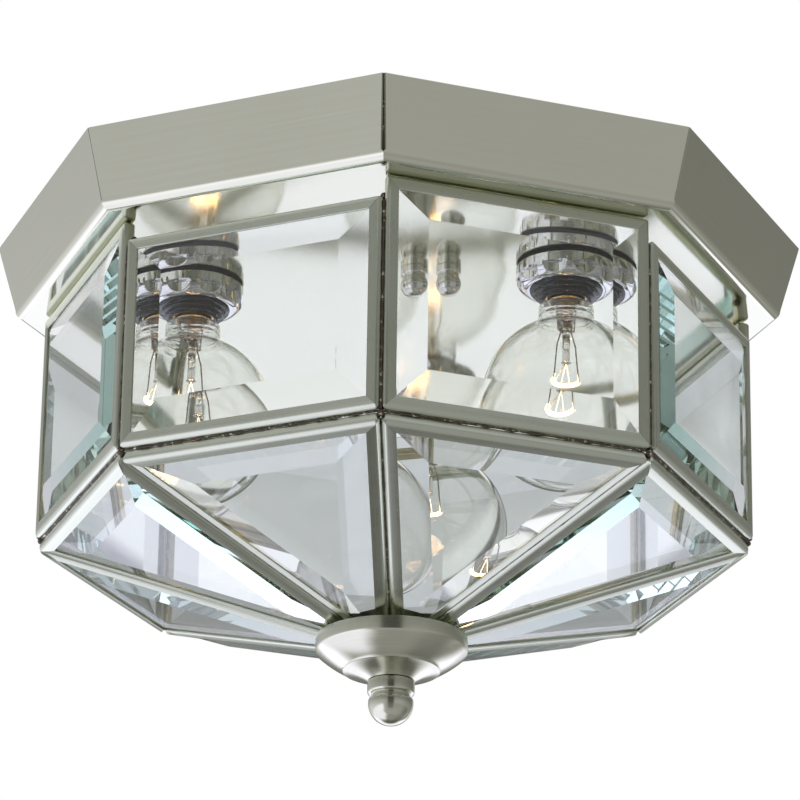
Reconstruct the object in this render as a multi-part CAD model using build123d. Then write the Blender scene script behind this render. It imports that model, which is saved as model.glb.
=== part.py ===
from build123d import *
from math import asin, atan2, cos, degrees, radians, sin, sqrt, tan
import os

# Octagonal flush mount ceiling light: a folded sheet pan, a soldered cage of bevelled
# glass panes in metal channel, three globe lamps, and a ball finial on a centre rod.
# Millimetres. The origin is the centre of the ceiling face, +Z is up and the light hangs below.
# A wall or corner bearing is measured in degrees from -Y towards +X.

SIDES = 8
SIDE_STEP = 360 / SIDES
HALF_STEP = SIDE_STEP / 2
CUT_MARGIN = 2.0

# Ceiling pan: one sheet, its eight flaps folded up from a flat plate
PAN_ACROSS_FLATS = 241.3
PAN_DEPTH = 25.4
PAN_LEAN = 15.0
PAN_SHEET = 0.9
PAN_BEND = 4.5
PAN_SEAM = 0.5

# Wall channel and the cage that it frames
CAGE_SETBACK = 18.95
CAGE_HEIGHT = 76.4
CAGE_TOP_GAP = 0.3
VENT_GAP = 7.4
CAGE_SLOPE = 18.7
CHANNEL_FACE = 4.7
CHANNEL_DEPTH = 4.2
CHANNEL_WALL = 0.6
CHANNEL_EDGE = 0.8
MITRE_GAP = 0.25
SEAM_GAP = 0.08
WINDOW_TIP = 1.6

# Bevelled glass
GLASS_END_GAP = 0.7
GLASS_FIT = 0.2
BEVEL_RISE = 2.4
BEVEL_WIDTH = 10.0
BEVEL_LAND = 0.3

# Solder run in the grooves between the channels
SOLDER_CLEAR = 0.1
SOLDER_DEPTH = 1.5
SOLDER_FIT = 0.02
SOLDER_END = 3.0

# Hub plate over the tips of the bottom panes
HUB_ACROSS = 40.0
HUB_SHEET = 1.2
HUB_HOLE = 12.0
HUB_FIT = 0.02

# Centre rod and its two hex nuts
ROD_DIAMETER = 6.35
ROD_ABOVE_PLATE = 13.0
ROD_IN_FINIAL = 9.0
ROD_HOLE_CLEARANCE = 0.4
THREAD_FIT = 0.05
ROD_NUT_ACROSS = 11.1
ROD_NUT_HEIGHT = 5.5

# Spun bottom cap
CAP_DIAMETER = 48.0
CAP_BAND = 4.4
CAP_SHOULDER = 5.9
CAP_SHOULDER_WIDTH = 6.5
CAP_SHOULDER_BOW = 1.3
CAP_CREASE_STEP = 0.4
CAP_FLARE = 4.2
CAP_FLARE_BOW = 0.5
CAP_SHEET = 0.8
CAP_SEAT_GAP = 0.3

# Ball finial
FINIAL_COLLAR_DIAMETER = 14.9
FINIAL_COLLAR = 3.4
FINIAL_GROOVE = 0.9
FINIAL_GROOVE_DEPTH = 1.2
FINIAL_BALL = 14.8
FINIAL_SEAT_GAP = 0.1
FINIAL_BORE_SPARE = 1.5

# Mounting strap, its studs and the ball nuts that hold the pan
STRAP_END = 8.5
STRAP_WIDTH = 17.0
STRAP_SHEET = 1.6
BOX_SCREW_SPACING = 88.9
SMALL_BOX_SPACING = 69.85
BOX_SCREW_HOLE = 5.0
WIRE_HOLE = 13.0
STUD_SPACING = 88.9
STUD_DIAMETER = 4.17
STUD_COLLAR_DIAMETER = 8.0
STUD_COLLAR = 1.2
STUD_IN_NUT = 6.5
NUT_WALL = 1.2
NUT_BALL_SWELL = 0.65
NUT_COLLAR_SWELL = 0.6
NUT_COLLAR = 2.6
NUT_WAIST = 1.0
NUT_BORE_SPARE = 1.0

# Lamp sockets on the pan
SOCKETS = 3
SOCKET_FIRST_BEARING = 30.0
SOCKET_WALL = 4.65
SOCKET_FLANGE = 3.1
SOCKET_FLANGE_HEIGHT = 2.5
SOCKET_HOUSING_STEP = 1.4
SOCKET_ABOVE_PLATE = 13.0
SOCKET_HOLE_CLEARANCE = 0.2
NOSE_LENGTH = 3.6
NOSE_STEPS = 3
NOSE_WALL = 1.0
GASKET = 1.0
GASKET_INSET = 0.35
RING_WIDTH = 4.3
RING_WALL_HEIGHT = 3.4
RING_SHOULDER = 3.8
RING_SHEET = 1.3
RING_FIT = 0.05
DIMPLES = 10
DIMPLE_RADIUS = 3.6
DIMPLE_DEPTH = 0.75
SHELL_SHEET = 0.7
SHELL_LENGTH = 14.0
TAB_DIAMETER = 7.0
TAB_SHEET = 0.6
TAB_GAP = 0.2

# Globe lamps with a small screw base
GLOBE_DIAMETER = 52.4
GLOBE_WALL_GAP = 7.5
BULB_WALL = 0.8
NECK_DIAMETER = 17.2
NECK_LENGTH = 5.9
NECK_BLEND = 2.5
NECK_TAPER = 1.6
NECK_BELOW_NOSE = 0.8
BASE_DIAMETER = 11.8
BASE_LENGTH = 18.0
BASE_SHEET = 0.6
BASE_FIT = 0.1
THREAD_PITCH = 2.54
THREAD_DEPTH = 0.4
THREAD_TURNS = 4
SPIGOT_LENGTH = 4.0
SPIGOT_FIT = 0.15
CONTACT_TAPER = 1.5
CONTACT_DIAMETER = 5.0
BUTTON_HEIGHT = 0.8
STEM_DIAMETER = 6.4
STEM_LENGTH = 9.0
STEM_FIT = 0.1
POST_DIAMETER = 1.6
POST_LENGTH = 8.0
LEAD_DIAMETER = 0.6
LEAD_SPREAD = 8.4
LEAD_LENGTH = 17.0
COIL_DIAMETER = 0.9

# Places worked out from the sizes
INSIDE_APOTHEM = PAN_ACROSS_FLATS / 2 - CAGE_SETBACK
WALL_WIDTH = 2 * INSIDE_APOTHEM * tan(radians(HALF_STEP))
PLATE_Z = -PAN_DEPTH
PLATE_TOP_Z = PLATE_Z + PAN_SHEET
CAGE_TOP_Z = PLATE_Z - CAGE_TOP_GAP
CAGE_FOOT_Z = CAGE_TOP_Z - CAGE_HEIGHT
SLOPE = radians(CAGE_SLOPE)
APEX_Z = CAGE_FOOT_Z - INSIDE_APOTHEM * tan(SLOPE)
GLASS_EDGE = CHANNEL_DEPTH - 2 * (CHANNEL_WALL + GLASS_FIT)
GLASS_INSET = SEAM_GAP + CHANNEL_WALL + GLASS_END_GAP
WINDOW_INSET = SEAM_GAP + CHANNEL_FACE

# A bottom pane is a long triangle in its own plane, with its tip cut off near the rod
TRIANGLE_LENGTH = INSIDE_APOTHEM / cos(SLOPE)
TRIANGLE_TAN = tan(radians(HALF_STEP)) * cos(SLOPE)
TRIANGLE_COS = 1 / sqrt(1 + TRIANGLE_TAN**2)
TIP_DISTANCE = (WINDOW_INSET / TRIANGLE_COS + WINDOW_TIP / 2) / TRIANGLE_TAN - WINDOW_INSET

# The cap rim stands just under the outer faces of the ribs
RIM_APOTHEM = CAP_DIAMETER / 2 * cos(radians(HALF_STEP))
CAP_RIM_Z = APEX_Z + RIM_APOTHEM * tan(SLOPE) - CHANNEL_DEPTH / cos(SLOPE) - CAP_SEAT_GAP
CAP_BAND_Z = CAP_RIM_Z - CAP_BAND
CAP_CREASE_Z = CAP_BAND_Z - CAP_SHOULDER
CAP_FOOT_Z = CAP_CREASE_Z - CAP_FLARE
FINIAL_TOP_Z = CAP_FOOT_Z - FINIAL_SEAT_GAP
ROD_TOP_Z = PLATE_TOP_Z + ROD_ABOVE_PLATE
ROD_FOOT_Z = FINIAL_TOP_Z - ROD_IN_FINIAL

# Down a socket: plate, gasket, ring, nose, lamp neck
RING_TOP_Z = PLATE_Z - GASKET
RING_FOOT_Z = RING_TOP_Z - RING_WALL_HEIGHT - RING_SHOULDER
NOSE_FOOT_Z = RING_FOOT_Z - NOSE_LENGTH
NECK_TOP_Z = NOSE_FOOT_Z - NECK_BELOW_NOSE
BASE_TOP_Z = NECK_TOP_Z + BASE_LENGTH
BUTTON_TOP_Z = BASE_TOP_Z + CONTACT_TAPER + BUTTON_HEIGHT
SOCKET_TOP_Z = PLATE_TOP_Z + SOCKET_ABOVE_PLATE
SHELL_INSIDE = BASE_DIAMETER / 2 + BASE_FIT
SHELL_OUTSIDE = SHELL_INSIDE + SHELL_SHEET
SOCKET_MOUTH = SHELL_OUTSIDE + RING_FIT
SOCKET_BARREL = SOCKET_MOUTH + SOCKET_WALL
RING_LIP = SOCKET_BARREL + RING_FIT
RING_RADIUS = RING_LIP + RING_WIDTH
SOCKET_RADIUS = INSIDE_APOTHEM - GLOBE_DIAMETER / 2 - GLOBE_WALL_GAP
NECK_FOOT_Z = NECK_TOP_Z - NECK_TAPER - NECK_LENGTH
GLOBE_Z = NECK_FOOT_Z - sqrt((GLOBE_DIAMETER / 2) ** 2 - (NECK_DIAMETER / 2) ** 2)


def around(bearing, radius):
    """The point at a bearing and a radius about the centre axis."""
    angle = radians(bearing)
    return radius * sin(angle), -radius * cos(angle)


def turned(shape, bearing):
    """A shape made on the -Y side, turned about the centre axis to a bearing."""
    return Rot(0, 0, bearing) * shape


def disc(radius, low, high):
    """An upright cylinder on the centre axis between two heights."""
    align = (Align.CENTER, Align.CENTER, Align.MIN)
    return Pos(0, 0, low) * Cylinder(radius, high - low, align=align)


def spun(*outline):
    """A solid of revolution about the centre axis from (radius, z) corners."""
    corners = [(radius, 0, z) for radius, z in outline]
    return revolve(make_face(Polyline(*corners, close=True)), Axis.Z)


def octagon(apothem, z):
    """An octagon with flats facing X and Y, at height z."""
    outline = RegularPolygon(apothem, SIDES, major_radius=False, rotation=HALF_STEP)
    return Pos(0, 0, z) * outline


def pan_form(inset, bend):
    """The pan as a filled octagonal tray, drawn in by an inset, with rounded lower bends."""
    lean = tan(radians(PAN_LEAN))
    side_inset = inset / cos(radians(PAN_LEAN))
    top = CUT_MARGIN if inset else 0
    foot = PLATE_Z + inset
    ceiling_apothem = PAN_ACROSS_FLATS / 2 - side_inset
    form = loft([octagon(ceiling_apothem + foot * lean, foot), octagon(ceiling_apothem + top * lean, top)])
    return fillet(form.edges().group_by(Axis.Z)[0], bend)


def make_pan():
    """Folded pan with open corner seams and its holes for the rod, studs and sockets."""
    pan = pan_form(0, PAN_BEND) - pan_form(PAN_SHEET, PAN_BEND - PAN_SHEET)
    corner = PAN_ACROSS_FLATS / 2 / cos(radians(HALF_STEP))
    seam_height = PAN_DEPTH - 2 * PAN_BEND
    slit = Box(PAN_SEAM, corner, seam_height + CUT_MARGIN, align=(Align.CENTER, Align.MAX, Align.MIN))
    slit = Pos(0, -corner / 2, -seam_height) * slit
    for side in range(SIDES):
        pan -= turned(slit, (side + 0.5) * SIDE_STEP)
    low = PLATE_Z - CUT_MARGIN
    high = PLATE_TOP_Z + CUT_MARGIN
    pan -= disc(ROD_DIAMETER / 2 + ROD_HOLE_CLEARANCE, low, high)
    for x, y in stud_places():
        pan -= Pos(x, y, 0) * disc(STUD_DIAMETER / 2 + ROD_HOLE_CLEARANCE, low, high)
    for x, y in socket_places():
        pan -= Pos(x, y, 0) * disc(SOCKET_BARREL + SOCKET_HOLE_CLEARANCE, low, high)
    return pan


def stud_places():
    """Where the two strap studs pass through the pan."""
    return [(0, -STUD_SPACING / 2), (0, STUD_SPACING / 2)]


def socket_places():
    """Where the lamp sockets stand on the pan."""
    bearings = [SOCKET_FIRST_BEARING + lamp * 360 / SOCKETS for lamp in range(SOCKETS)]
    return [around(bearing, SOCKET_RADIUS) for bearing in bearings]


def wall_outline(height, inset):
    """Corners of a side pane in its own plane, drawn in by an inset, standing on the cage foot."""
    half = WALL_WIDTH / 2 - inset
    return [(-half, inset), (half, inset), (half, height - inset), (-half, height - inset)]


def triangle_outline(inset):
    """Corners of a bottom pane in its own plane, with the centre axis at the origin."""
    tip = TIP_DISTANCE + inset
    rim = TRIANGLE_LENGTH - inset
    tip_half = tip * TRIANGLE_TAN - inset / TRIANGLE_COS
    rim_half = rim * TRIANGLE_TAN - inset / TRIANGLE_COS
    return [(-tip_half, tip), (tip_half, tip), (rim_half, rim), (-rim_half, rim)]


def slab(corners, low, high):
    """A flat plate of the given outline between two heights above the pane's inner face."""
    return Pos(0, 0, low) * extrude(Polygon(*corners, align=None), high - low)


def channel_frame(outline):
    """U-shaped channel folded round one pane, with rounded outside edges and mitred corners."""
    frame = slab(outline(SEAM_GAP), 0, CHANNEL_DEPTH)
    levels = frame.edges().group_by(Axis.Z)
    frame = fillet(levels[0] + levels[-1], CHANNEL_EDGE)
    frame -= slab(outline(WINDOW_INSET), -CUT_MARGIN, CHANNEL_DEPTH + CUT_MARGIN)
    frame -= slab(outline(SEAM_GAP + CHANNEL_WALL), CHANNEL_WALL, CHANNEL_DEPTH - CHANNEL_WALL)
    for (x, y), (inner_x, inner_y) in zip(outline(SEAM_GAP), outline(WINDOW_INSET)):
        run = sqrt((inner_x - x) ** 2 + (inner_y - y) ** 2)
        slit = Box(run, MITRE_GAP, CHANNEL_WALL + CUT_MARGIN, align=(Align.MIN, Align.CENTER, Align.MIN))
        slit = Pos(CHANNEL_EDGE, 0, CHANNEL_DEPTH - CHANNEL_WALL) * slit
        frame -= Pos(x, y, 0) * Rot(0, 0, degrees(atan2(inner_y - y, inner_x - x))) * slit
    return frame


def bevelled_pane(outline):
    """Glass with a thin edge in the channel and a wide ground bevel on its outer face."""
    face = CHANNEL_WALL + GLASS_FIT
    edge = face + GLASS_EDGE
    pane = slab(outline(GLASS_INSET), face, edge)
    foot = outline(WINDOW_INSET + BEVEL_LAND)
    crown = slab(foot, face, edge + BEVEL_RISE)
    for (x, y), (next_x, next_y) in zip(foot, foot[1:] + foot[:1]):
        side = Vector(next_x - x, next_y - y).normalized()
        slope = Vector(side.Y * BEVEL_RISE, -side.X * BEVEL_RISE, BEVEL_WIDTH)
        ground = Plane(origin=(x, y, edge), x_dir=(side.X, side.Y, 0), z_dir=slope)
        crown = split(crown, bisect_by=ground, keep=Keep.BOTTOM)
    return pane + crown


def on_wall(shape):
    """A flat piece set upright as the wall that faces -Y, its inner face to the inside."""
    return Location(Plane((0, -INSIDE_APOTHEM, CAGE_FOOT_Z), (1, 0, 0), (0, -1, 0))) * shape


def on_slope(shape):
    """A flat piece set as the bottom pane under the wall that faces -Y."""
    return Location(Plane((0, 0, APEX_Z), (1, 0, 0), (0, -sin(SLOPE), -cos(SLOPE)))) * shape


def solder_run(start, along, outward, half_angle, length):
    """A bead in the groove between two channels, whose webs open by twice the half angle."""
    opening = sin(half_angle)
    outline = []
    start_depth = CHANNEL_EDGE + SOLDER_CLEAR
    for depth in (start_depth, start_depth + SOLDER_DEPTH):
        half = depth * opening + SEAM_GAP * cos(half_angle) - SOLDER_FIT
        height = depth * cos(half_angle) - SEAM_GAP * opening
        outline.append((half, height))
    (low_half, low), (high_half, high) = outline
    section = Polygon((-low_half, low), (low_half, low), (high_half, high), (-high_half, high), align=None)
    across = Vector(outward).cross(Vector(along))
    return Location(Plane(start, across, along)) * extrude(section, length)


def make_solder():
    """Beads up the corners, along the foot of each wall, and down each rib of the bottom."""
    corner = INSIDE_APOTHEM / cos(radians(HALF_STEP))
    rise = CAGE_HEIGHT - VENT_GAP - 2 * SOLDER_END
    upright = solder_run(
        (0, -corner, CAGE_FOOT_Z + SOLDER_END), (0, 0, 1), (0, -1, 0), radians(HALF_STEP), rise
    )
    groove = (radians(90) - SLOPE) / 2
    foot_length = WALL_WIDTH - 2 * SOLDER_END
    foot = solder_run(
        (-foot_length / 2, -INSIDE_APOTHEM, CAGE_FOOT_Z),
        (1, 0, 0),
        (0, -cos(groove), -sin(groove)),
        groove,
        foot_length,
    )
    rib_fall = corner - HUB_ACROSS / 2
    rib_drop = tan(SLOPE) * cos(radians(HALF_STEP))
    rib_length = rib_fall * sqrt(1 + rib_drop**2) - 2 * SOLDER_END
    down = Vector(0, 1, -rib_drop).normalized()
    under = Vector(0, -rib_drop, -1).normalized()
    rib_start = Vector(0, -corner, CAGE_FOOT_Z) + down * SOLDER_END
    rib_angle = asin(sin(SLOPE) * sin(radians(HALF_STEP)))
    rib = solder_run(rib_start, down, under, rib_angle, rib_length)
    beads = []
    for side in range(SIDES):
        beads.append(turned(foot, side * SIDE_STEP))
        beads.append(turned(upright, (side + 0.5) * SIDE_STEP))
        beads.append(turned(rib, (side + 0.5) * SIDE_STEP))
    return beads


def hub_form(lift):
    """The inverted octagonal pyramid that the upper faces of the bottom panes enclose."""
    apothem = HUB_ACROSS / 2
    base_z = APEX_Z + lift
    tip = ROD_DIAMETER / 2
    return loft(
        [octagon(tip, base_z + tip * tan(SLOPE)), octagon(apothem, base_z + apothem * tan(SLOPE))]
    )


def make_hub():
    """Pressed octagonal plate soldered across the tips of the bottom panes."""
    fall = HUB_FIT / cos(SLOPE)
    block = hub_form(fall)
    lifted = hub_form(fall + HUB_SHEET / cos(SLOPE))
    hub = block - lifted
    return hub - disc(HUB_HOLE / 2, APEX_Z - CUT_MARGIN, APEX_Z + HUB_ACROSS)


def make_rod():
    """Threaded centre rod from inside the pan down into the finial."""
    return disc(ROD_DIAMETER / 2, ROD_FOOT_Z, ROD_TOP_Z)


def make_rod_nuts():
    """Hex nuts that clamp the rod to the plate from both sides."""
    flat = RegularPolygon(ROD_NUT_ACROSS / 2, 6, major_radius=False)
    bore = Circle(ROD_DIAMETER / 2 + THREAD_FIT)
    nut = extrude(flat - bore, ROD_NUT_HEIGHT)
    return [Pos(0, 0, PLATE_TOP_Z) * nut, Pos(0, 0, PLATE_Z - ROD_NUT_HEIGHT) * nut]


def bowed(start, end, bow):
    """An arc between two (radius, z) points, bowed to the right of the way it runs."""
    chord = Vector(end[0] - start[0], end[1] - start[1]).normalized()
    middle_r = (start[0] + end[0]) / 2 + chord.Y * bow
    middle_z = (start[1] + end[1]) / 2 - chord.X * bow
    return ThreePointArc((start[0], 0, start[1]), (middle_r, 0, middle_z), (end[0], 0, end[1]))


def cap_form(wall):
    """The filled cap, drawn in by its wall: band, round shoulder, crease and hollow flare."""
    rim = CAP_DIAMETER / 2 - wall
    crease = rim - CAP_SHOULDER_WIDTH
    seat = FINIAL_COLLAR_DIAMETER / 2 - wall
    top = CAP_RIM_Z + (CUT_MARGIN if wall else 0)
    band_z = CAP_BAND_Z + wall
    crease_z = CAP_CREASE_Z + wall
    step_z = crease_z - CAP_CREASE_STEP
    foot_z = CAP_FOOT_Z + wall
    edge = [
        Line((0, 0, top), (rim, 0, top)),
        Line((rim, 0, top), (rim, 0, band_z)),
        bowed((rim, band_z), (crease, crease_z), -CAP_SHOULDER_BOW),
        Line((crease, 0, crease_z), (crease, 0, step_z)),
        bowed((crease, step_z), (seat, foot_z), CAP_FLARE_BOW),
        Line((seat, 0, foot_z), (0, 0, foot_z)),
        Line((0, 0, foot_z), (0, 0, top)),
    ]
    return revolve(make_face(edge), Axis.Z)


def make_cap():
    """Spun sheet cap that covers the pane tips, with a hole for the rod."""
    cap = cap_form(0) - cap_form(CAP_SHEET)
    return cap - disc(ROD_DIAMETER / 2 + ROD_HOLE_CLEARANCE, CAP_FOOT_Z - CUT_MARGIN, CAP_RIM_Z)


def ball_below(radius, neck, z):
    """A ball that hangs from a narrower neck, which ends at height z."""
    ball = Pos(0, 0, z - sqrt(radius**2 - neck**2)) * Sphere(radius)
    return split(ball, bisect_by=Plane.XY.offset(z), keep=Keep.BOTTOM)


def make_finial():
    """Turned ball finial with a collar, a groove and a tapped blind hole."""
    collar_z = FINIAL_TOP_Z - FINIAL_COLLAR
    groove_z = collar_z - FINIAL_GROOVE
    neck = FINIAL_BALL / 2 - FINIAL_GROOVE_DEPTH
    finial = disc(FINIAL_COLLAR_DIAMETER / 2, collar_z, FINIAL_TOP_Z)
    finial += disc(neck, groove_z, collar_z)
    finial += ball_below(FINIAL_BALL / 2, neck, groove_z)
    bore_foot = ROD_FOOT_Z - FINIAL_BORE_SPARE
    return finial - disc(ROD_DIAMETER / 2 + THREAD_FIT, bore_foot, FINIAL_TOP_Z + CUT_MARGIN)


def make_strap():
    """Crossed mounting strap with holes for both ceiling box sizes and for the supply wires."""
    align = (Align.CENTER, Align.CENTER, Align.MAX)
    strap = Box(BOX_SCREW_SPACING + 2 * STRAP_END, STRAP_WIDTH, STRAP_SHEET, align=align)
    strap += Box(STRAP_WIDTH, STUD_SPACING + 2 * STRAP_END, STRAP_SHEET, align=align)
    low = -STRAP_SHEET - CUT_MARGIN
    for spacing in (BOX_SCREW_SPACING, SMALL_BOX_SPACING):
        for x in (-spacing / 2, spacing / 2):
            strap -= Pos(x, 0, 0) * disc(BOX_SCREW_HOLE / 2, low, CUT_MARGIN)
    for x, y in stud_places():
        strap -= Pos(x, y, 0) * disc(STUD_DIAMETER / 2 + THREAD_FIT, low, CUT_MARGIN)
    return strap - disc(WIRE_HOLE / 2, low, CUT_MARGIN)


def make_studs():
    """Studs pressed into the strap, each with a collar under it."""
    stud = disc(STUD_DIAMETER / 2, PLATE_Z - STUD_IN_NUT, 0)
    stud += disc(STUD_COLLAR_DIAMETER / 2, -STRAP_SHEET - STUD_COLLAR, -STRAP_SHEET)
    return [Pos(x, y, 0) * stud for x, y in stud_places()]


def make_ball_nuts():
    """Turned cap nuts: a collar against the plate, a waist and a ball."""
    bore = STUD_DIAMETER / 2 + THREAD_FIT
    waist = bore + NUT_WALL
    collar_z = PLATE_Z - NUT_COLLAR
    waist_z = collar_z - NUT_WAIST
    nut = disc(waist + NUT_COLLAR_SWELL, collar_z, PLATE_Z)
    nut += disc(waist, waist_z, collar_z)
    nut += ball_below(waist + NUT_BALL_SWELL, waist, waist_z)
    nut -= disc(bore, PLATE_Z - STUD_IN_NUT - NUT_BORE_SPARE, PLATE_Z + CUT_MARGIN)
    return [Pos(x, y, 0) * nut for x, y in stud_places()]


def make_socket_body():
    """Moulded lampholder: housing and flange above the plate, barrel and ridged nose below it."""
    tread = (SOCKET_WALL - NOSE_WALL) / NOSE_STEPS
    rise = NOSE_LENGTH / NOSE_STEPS
    housing = SOCKET_BARREL - SOCKET_HOUSING_STEP
    flange = SOCKET_BARREL + SOCKET_FLANGE
    flange_z = PLATE_TOP_Z + SOCKET_FLANGE_HEIGHT
    outline = [
        (0, SOCKET_TOP_Z),
        (housing, SOCKET_TOP_Z),
        (housing, flange_z),
        (flange, flange_z),
        (flange, PLATE_TOP_Z),
        (SOCKET_BARREL, PLATE_TOP_Z),
    ]
    for step in range(NOSE_STEPS):
        radius = SOCKET_BARREL - step * tread
        step_z = RING_FOOT_Z - (step + 1) * rise
        outline += [(radius, step_z + rise / 2), (radius - tread, step_z)]
    outline += [(0, NOSE_FOOT_Z)]
    bore_top = BUTTON_TOP_Z + TAB_GAP + TAB_SHEET
    return spun(*outline) - disc(SOCKET_MOUTH, NOSE_FOOT_Z - CUT_MARGIN, bore_top)


def make_socket_ring():
    """Polished retaining ring screwed up the barrel, with finger dimples round its shoulder."""
    wall_z = RING_TOP_Z - RING_WALL_HEIGHT
    shoulder = min(RING_SHOULDER, RING_WIDTH - RING_FIT)
    block = disc(RING_RADIUS, RING_FOOT_Z, RING_TOP_Z)
    block = fillet(block.edges().group_by(Axis.Z)[0], shoulder)
    hollow = disc(RING_RADIUS - RING_SHEET, wall_z, RING_TOP_Z + CUT_MARGIN)
    ring = block - hollow - disc(RING_LIP, RING_FOOT_Z - CUT_MARGIN, RING_TOP_Z)
    slant = cos(radians(45))
    stand_off = shoulder * slant + (DIMPLE_RADIUS - DIMPLE_DEPTH) * slant
    reach = RING_RADIUS - shoulder + stand_off
    dimple_z = RING_FOOT_Z + shoulder - stand_off
    for dimple in range(DIMPLES):
        x, y = around(dimple * 360 / DIMPLES, reach)
        ring -= Pos(x, y, dimple_z) * Sphere(DIMPLE_RADIUS)
    return ring


def make_gasket():
    """Flat rubber ring between the plate and the retaining ring."""
    ring = Circle(RING_RADIUS - GASKET_INSET) - Circle(SOCKET_BARREL + SOCKET_HOLE_CLEARANCE)
    return Pos(0, 0, RING_TOP_Z) * extrude(ring, GASKET)


def make_socket_contacts():
    """Brass screw shell lining the bore, and the centre contact tab above it."""
    tube = Circle(SHELL_OUTSIDE) - Circle(SHELL_INSIDE)
    shell = Pos(0, 0, NOSE_FOOT_Z + NECK_BELOW_NOSE) * extrude(tube, SHELL_LENGTH)
    tab_z = BUTTON_TOP_Z + TAB_GAP
    return [shell, disc(TAB_DIAMETER / 2, tab_z, tab_z + TAB_SHEET)]


def bulb_form(wall):
    """The filled lamp envelope, drawn in by its wall: globe, blended neck, taper and spigot."""
    globe = GLOBE_DIAMETER / 2 - wall
    neck = NECK_DIAMETER / 2 - wall
    spigot = BASE_DIAMETER / 2 - BASE_SHEET - SPIGOT_FIT - wall
    neck_z = NECK_TOP_Z - NECK_TAPER
    form = Pos(0, 0, GLOBE_Z) * Sphere(globe) + disc(neck, GLOBE_Z, neck_z)
    waist = form.edges().filter_by(GeomType.CIRCLE).sort_by(Axis.Z)[-2]
    form = fillet(waist, NECK_BLEND + wall)
    top = NECK_TOP_Z + SPIGOT_LENGTH + (CUT_MARGIN if wall else 0)
    stalk = [(0, top), (spigot, top), (spigot, NECK_TOP_Z), (neck, neck_z), (0, neck_z)]
    return form + spun(*stalk)


def make_bulb_glass():
    """Clear globe envelope, open at the spigot that sits in the base."""
    return bulb_form(0) - bulb_form(BULB_WALL)


def make_bulb_base():
    """Brass screw base: a thin cup round the spigot, with rolled threads."""
    outer = BASE_DIAMETER / 2
    inner = outer - BASE_SHEET
    root = outer - THREAD_DEPTH
    thread_z = BASE_TOP_Z - THREAD_TURNS * THREAD_PITCH
    outline = [(inner, NECK_TOP_Z), (outer, NECK_TOP_Z), (outer, thread_z)]
    for turn in range(THREAD_TURNS):
        low = thread_z + turn * THREAD_PITCH
        outline += [(root, low + THREAD_PITCH / 2), (outer, low + THREAD_PITCH)]
    outline[-1] = (root, BASE_TOP_Z)
    lining = root - BASE_SHEET
    outline += [(lining, BASE_TOP_Z), (lining, thread_z), (inner, thread_z - THREAD_DEPTH)]
    return spun(*outline)


def make_bulb_contact():
    """Insulating cone that closes the base, with its solder button."""
    rim = BASE_DIAMETER / 2 - THREAD_DEPTH
    tip = CONTACT_DIAMETER / 2
    cone_z = BASE_TOP_Z + CONTACT_TAPER
    return spun(
        (0, BASE_TOP_Z), (rim, BASE_TOP_Z), (tip, cone_z), (tip, BUTTON_TOP_Z), (0, BUTTON_TOP_Z)
    )


def make_filament():
    """Glass stem with its post, two lead wires and the coil hung between them."""
    flare = BASE_DIAMETER / 2 - BASE_SHEET - SPIGOT_FIT - BULB_WALL - STEM_FIT
    press = STEM_DIAMETER / 2
    stem_foot = NECK_TOP_Z - STEM_LENGTH
    post_foot = stem_foot - POST_LENGTH
    post = POST_DIAMETER / 2
    mount = spun(
        (0, NECK_TOP_Z + SPIGOT_LENGTH),
        (flare, NECK_TOP_Z + SPIGOT_LENGTH),
        (flare, NECK_TOP_Z),
        (press, NECK_TOP_Z - NECK_TAPER),
        (press, stem_foot),
        (post, stem_foot),
        (post, post_foot),
        (0, post_foot),
    )
    lead_foot = stem_foot - LEAD_LENGTH
    half = LEAD_SPREAD / 2
    for side in (-1, 1):
        lead = Line((side * press / 2, 0, stem_foot + LEAD_DIAMETER), (side * half, 0, lead_foot))
        wire = Plane(lead @ 0, z_dir=lead % 0) * Circle(LEAD_DIAMETER / 2)
        mount += sweep(wire, path=lead)
    coil_path = ThreePointArc((-half, 0, lead_foot), (0, half, lead_foot), (half, 0, lead_foot))
    coil = Plane(coil_path @ 0, z_dir=coil_path % 0) * Circle(COIL_DIAMETER / 2)
    return mount + sweep(coil, path=coil_path)


def save(name, *solids):
    """Write one node, a single piece or a group of like pieces."""
    shape = solids[0] if len(solids) == 1 else Compound(children=list(solids))
    export_step(shape, f"parts/{name}.step")


os.makedirs("parts", exist_ok=True)

save("ceiling_pan", make_pan())
save("mounting_strap", make_strap())
save("strap_studs", *make_studs())
save("ball_nuts", *make_ball_nuts())
save("center_rod", make_rod())
save("rod_nuts", *make_rod_nuts())

socket_body = make_socket_body()
bulb_pieces = {
    "bulb_glass": make_bulb_glass(),
    "bulb_base": make_bulb_base(),
    "bulb_contact": make_bulb_contact(),
    "bulb_filament": make_filament(),
}
for lamp, (x, y) in enumerate(socket_places(), start=1):
    save(f"socket_body_{lamp}", Pos(x, y, 0) * socket_body)
    for name, piece in bulb_pieces.items():
        save(f"{name}_{lamp}", Pos(x, y, 0) * piece)
socket_ring = make_socket_ring()
save("socket_rings", *[Pos(x, y, 0) * socket_ring for x, y in socket_places()])
gasket = make_gasket()
save("socket_gaskets", *[Pos(x, y, 0) * gasket for x, y in socket_places()])
contacts = make_socket_contacts()
save("socket_contacts", *[Pos(x, y, 0) * piece for x, y in socket_places() for piece in contacts])

wall_heights = {"tall": CAGE_HEIGHT, "short": CAGE_HEIGHT - VENT_GAP}
for first_side, (name, height) in enumerate(wall_heights.items()):
    frame = on_wall(channel_frame(lambda inset: wall_outline(height, inset)))
    pane = on_wall(bevelled_pane(lambda inset: wall_outline(height, inset)))
    for place, side in enumerate(range(first_side, SIDES, 2), start=1):
        save(f"{name}_frame_{place}", turned(frame, side * SIDE_STEP))
        save(f"{name}_pane_{place}", turned(pane, side * SIDE_STEP))

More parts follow.
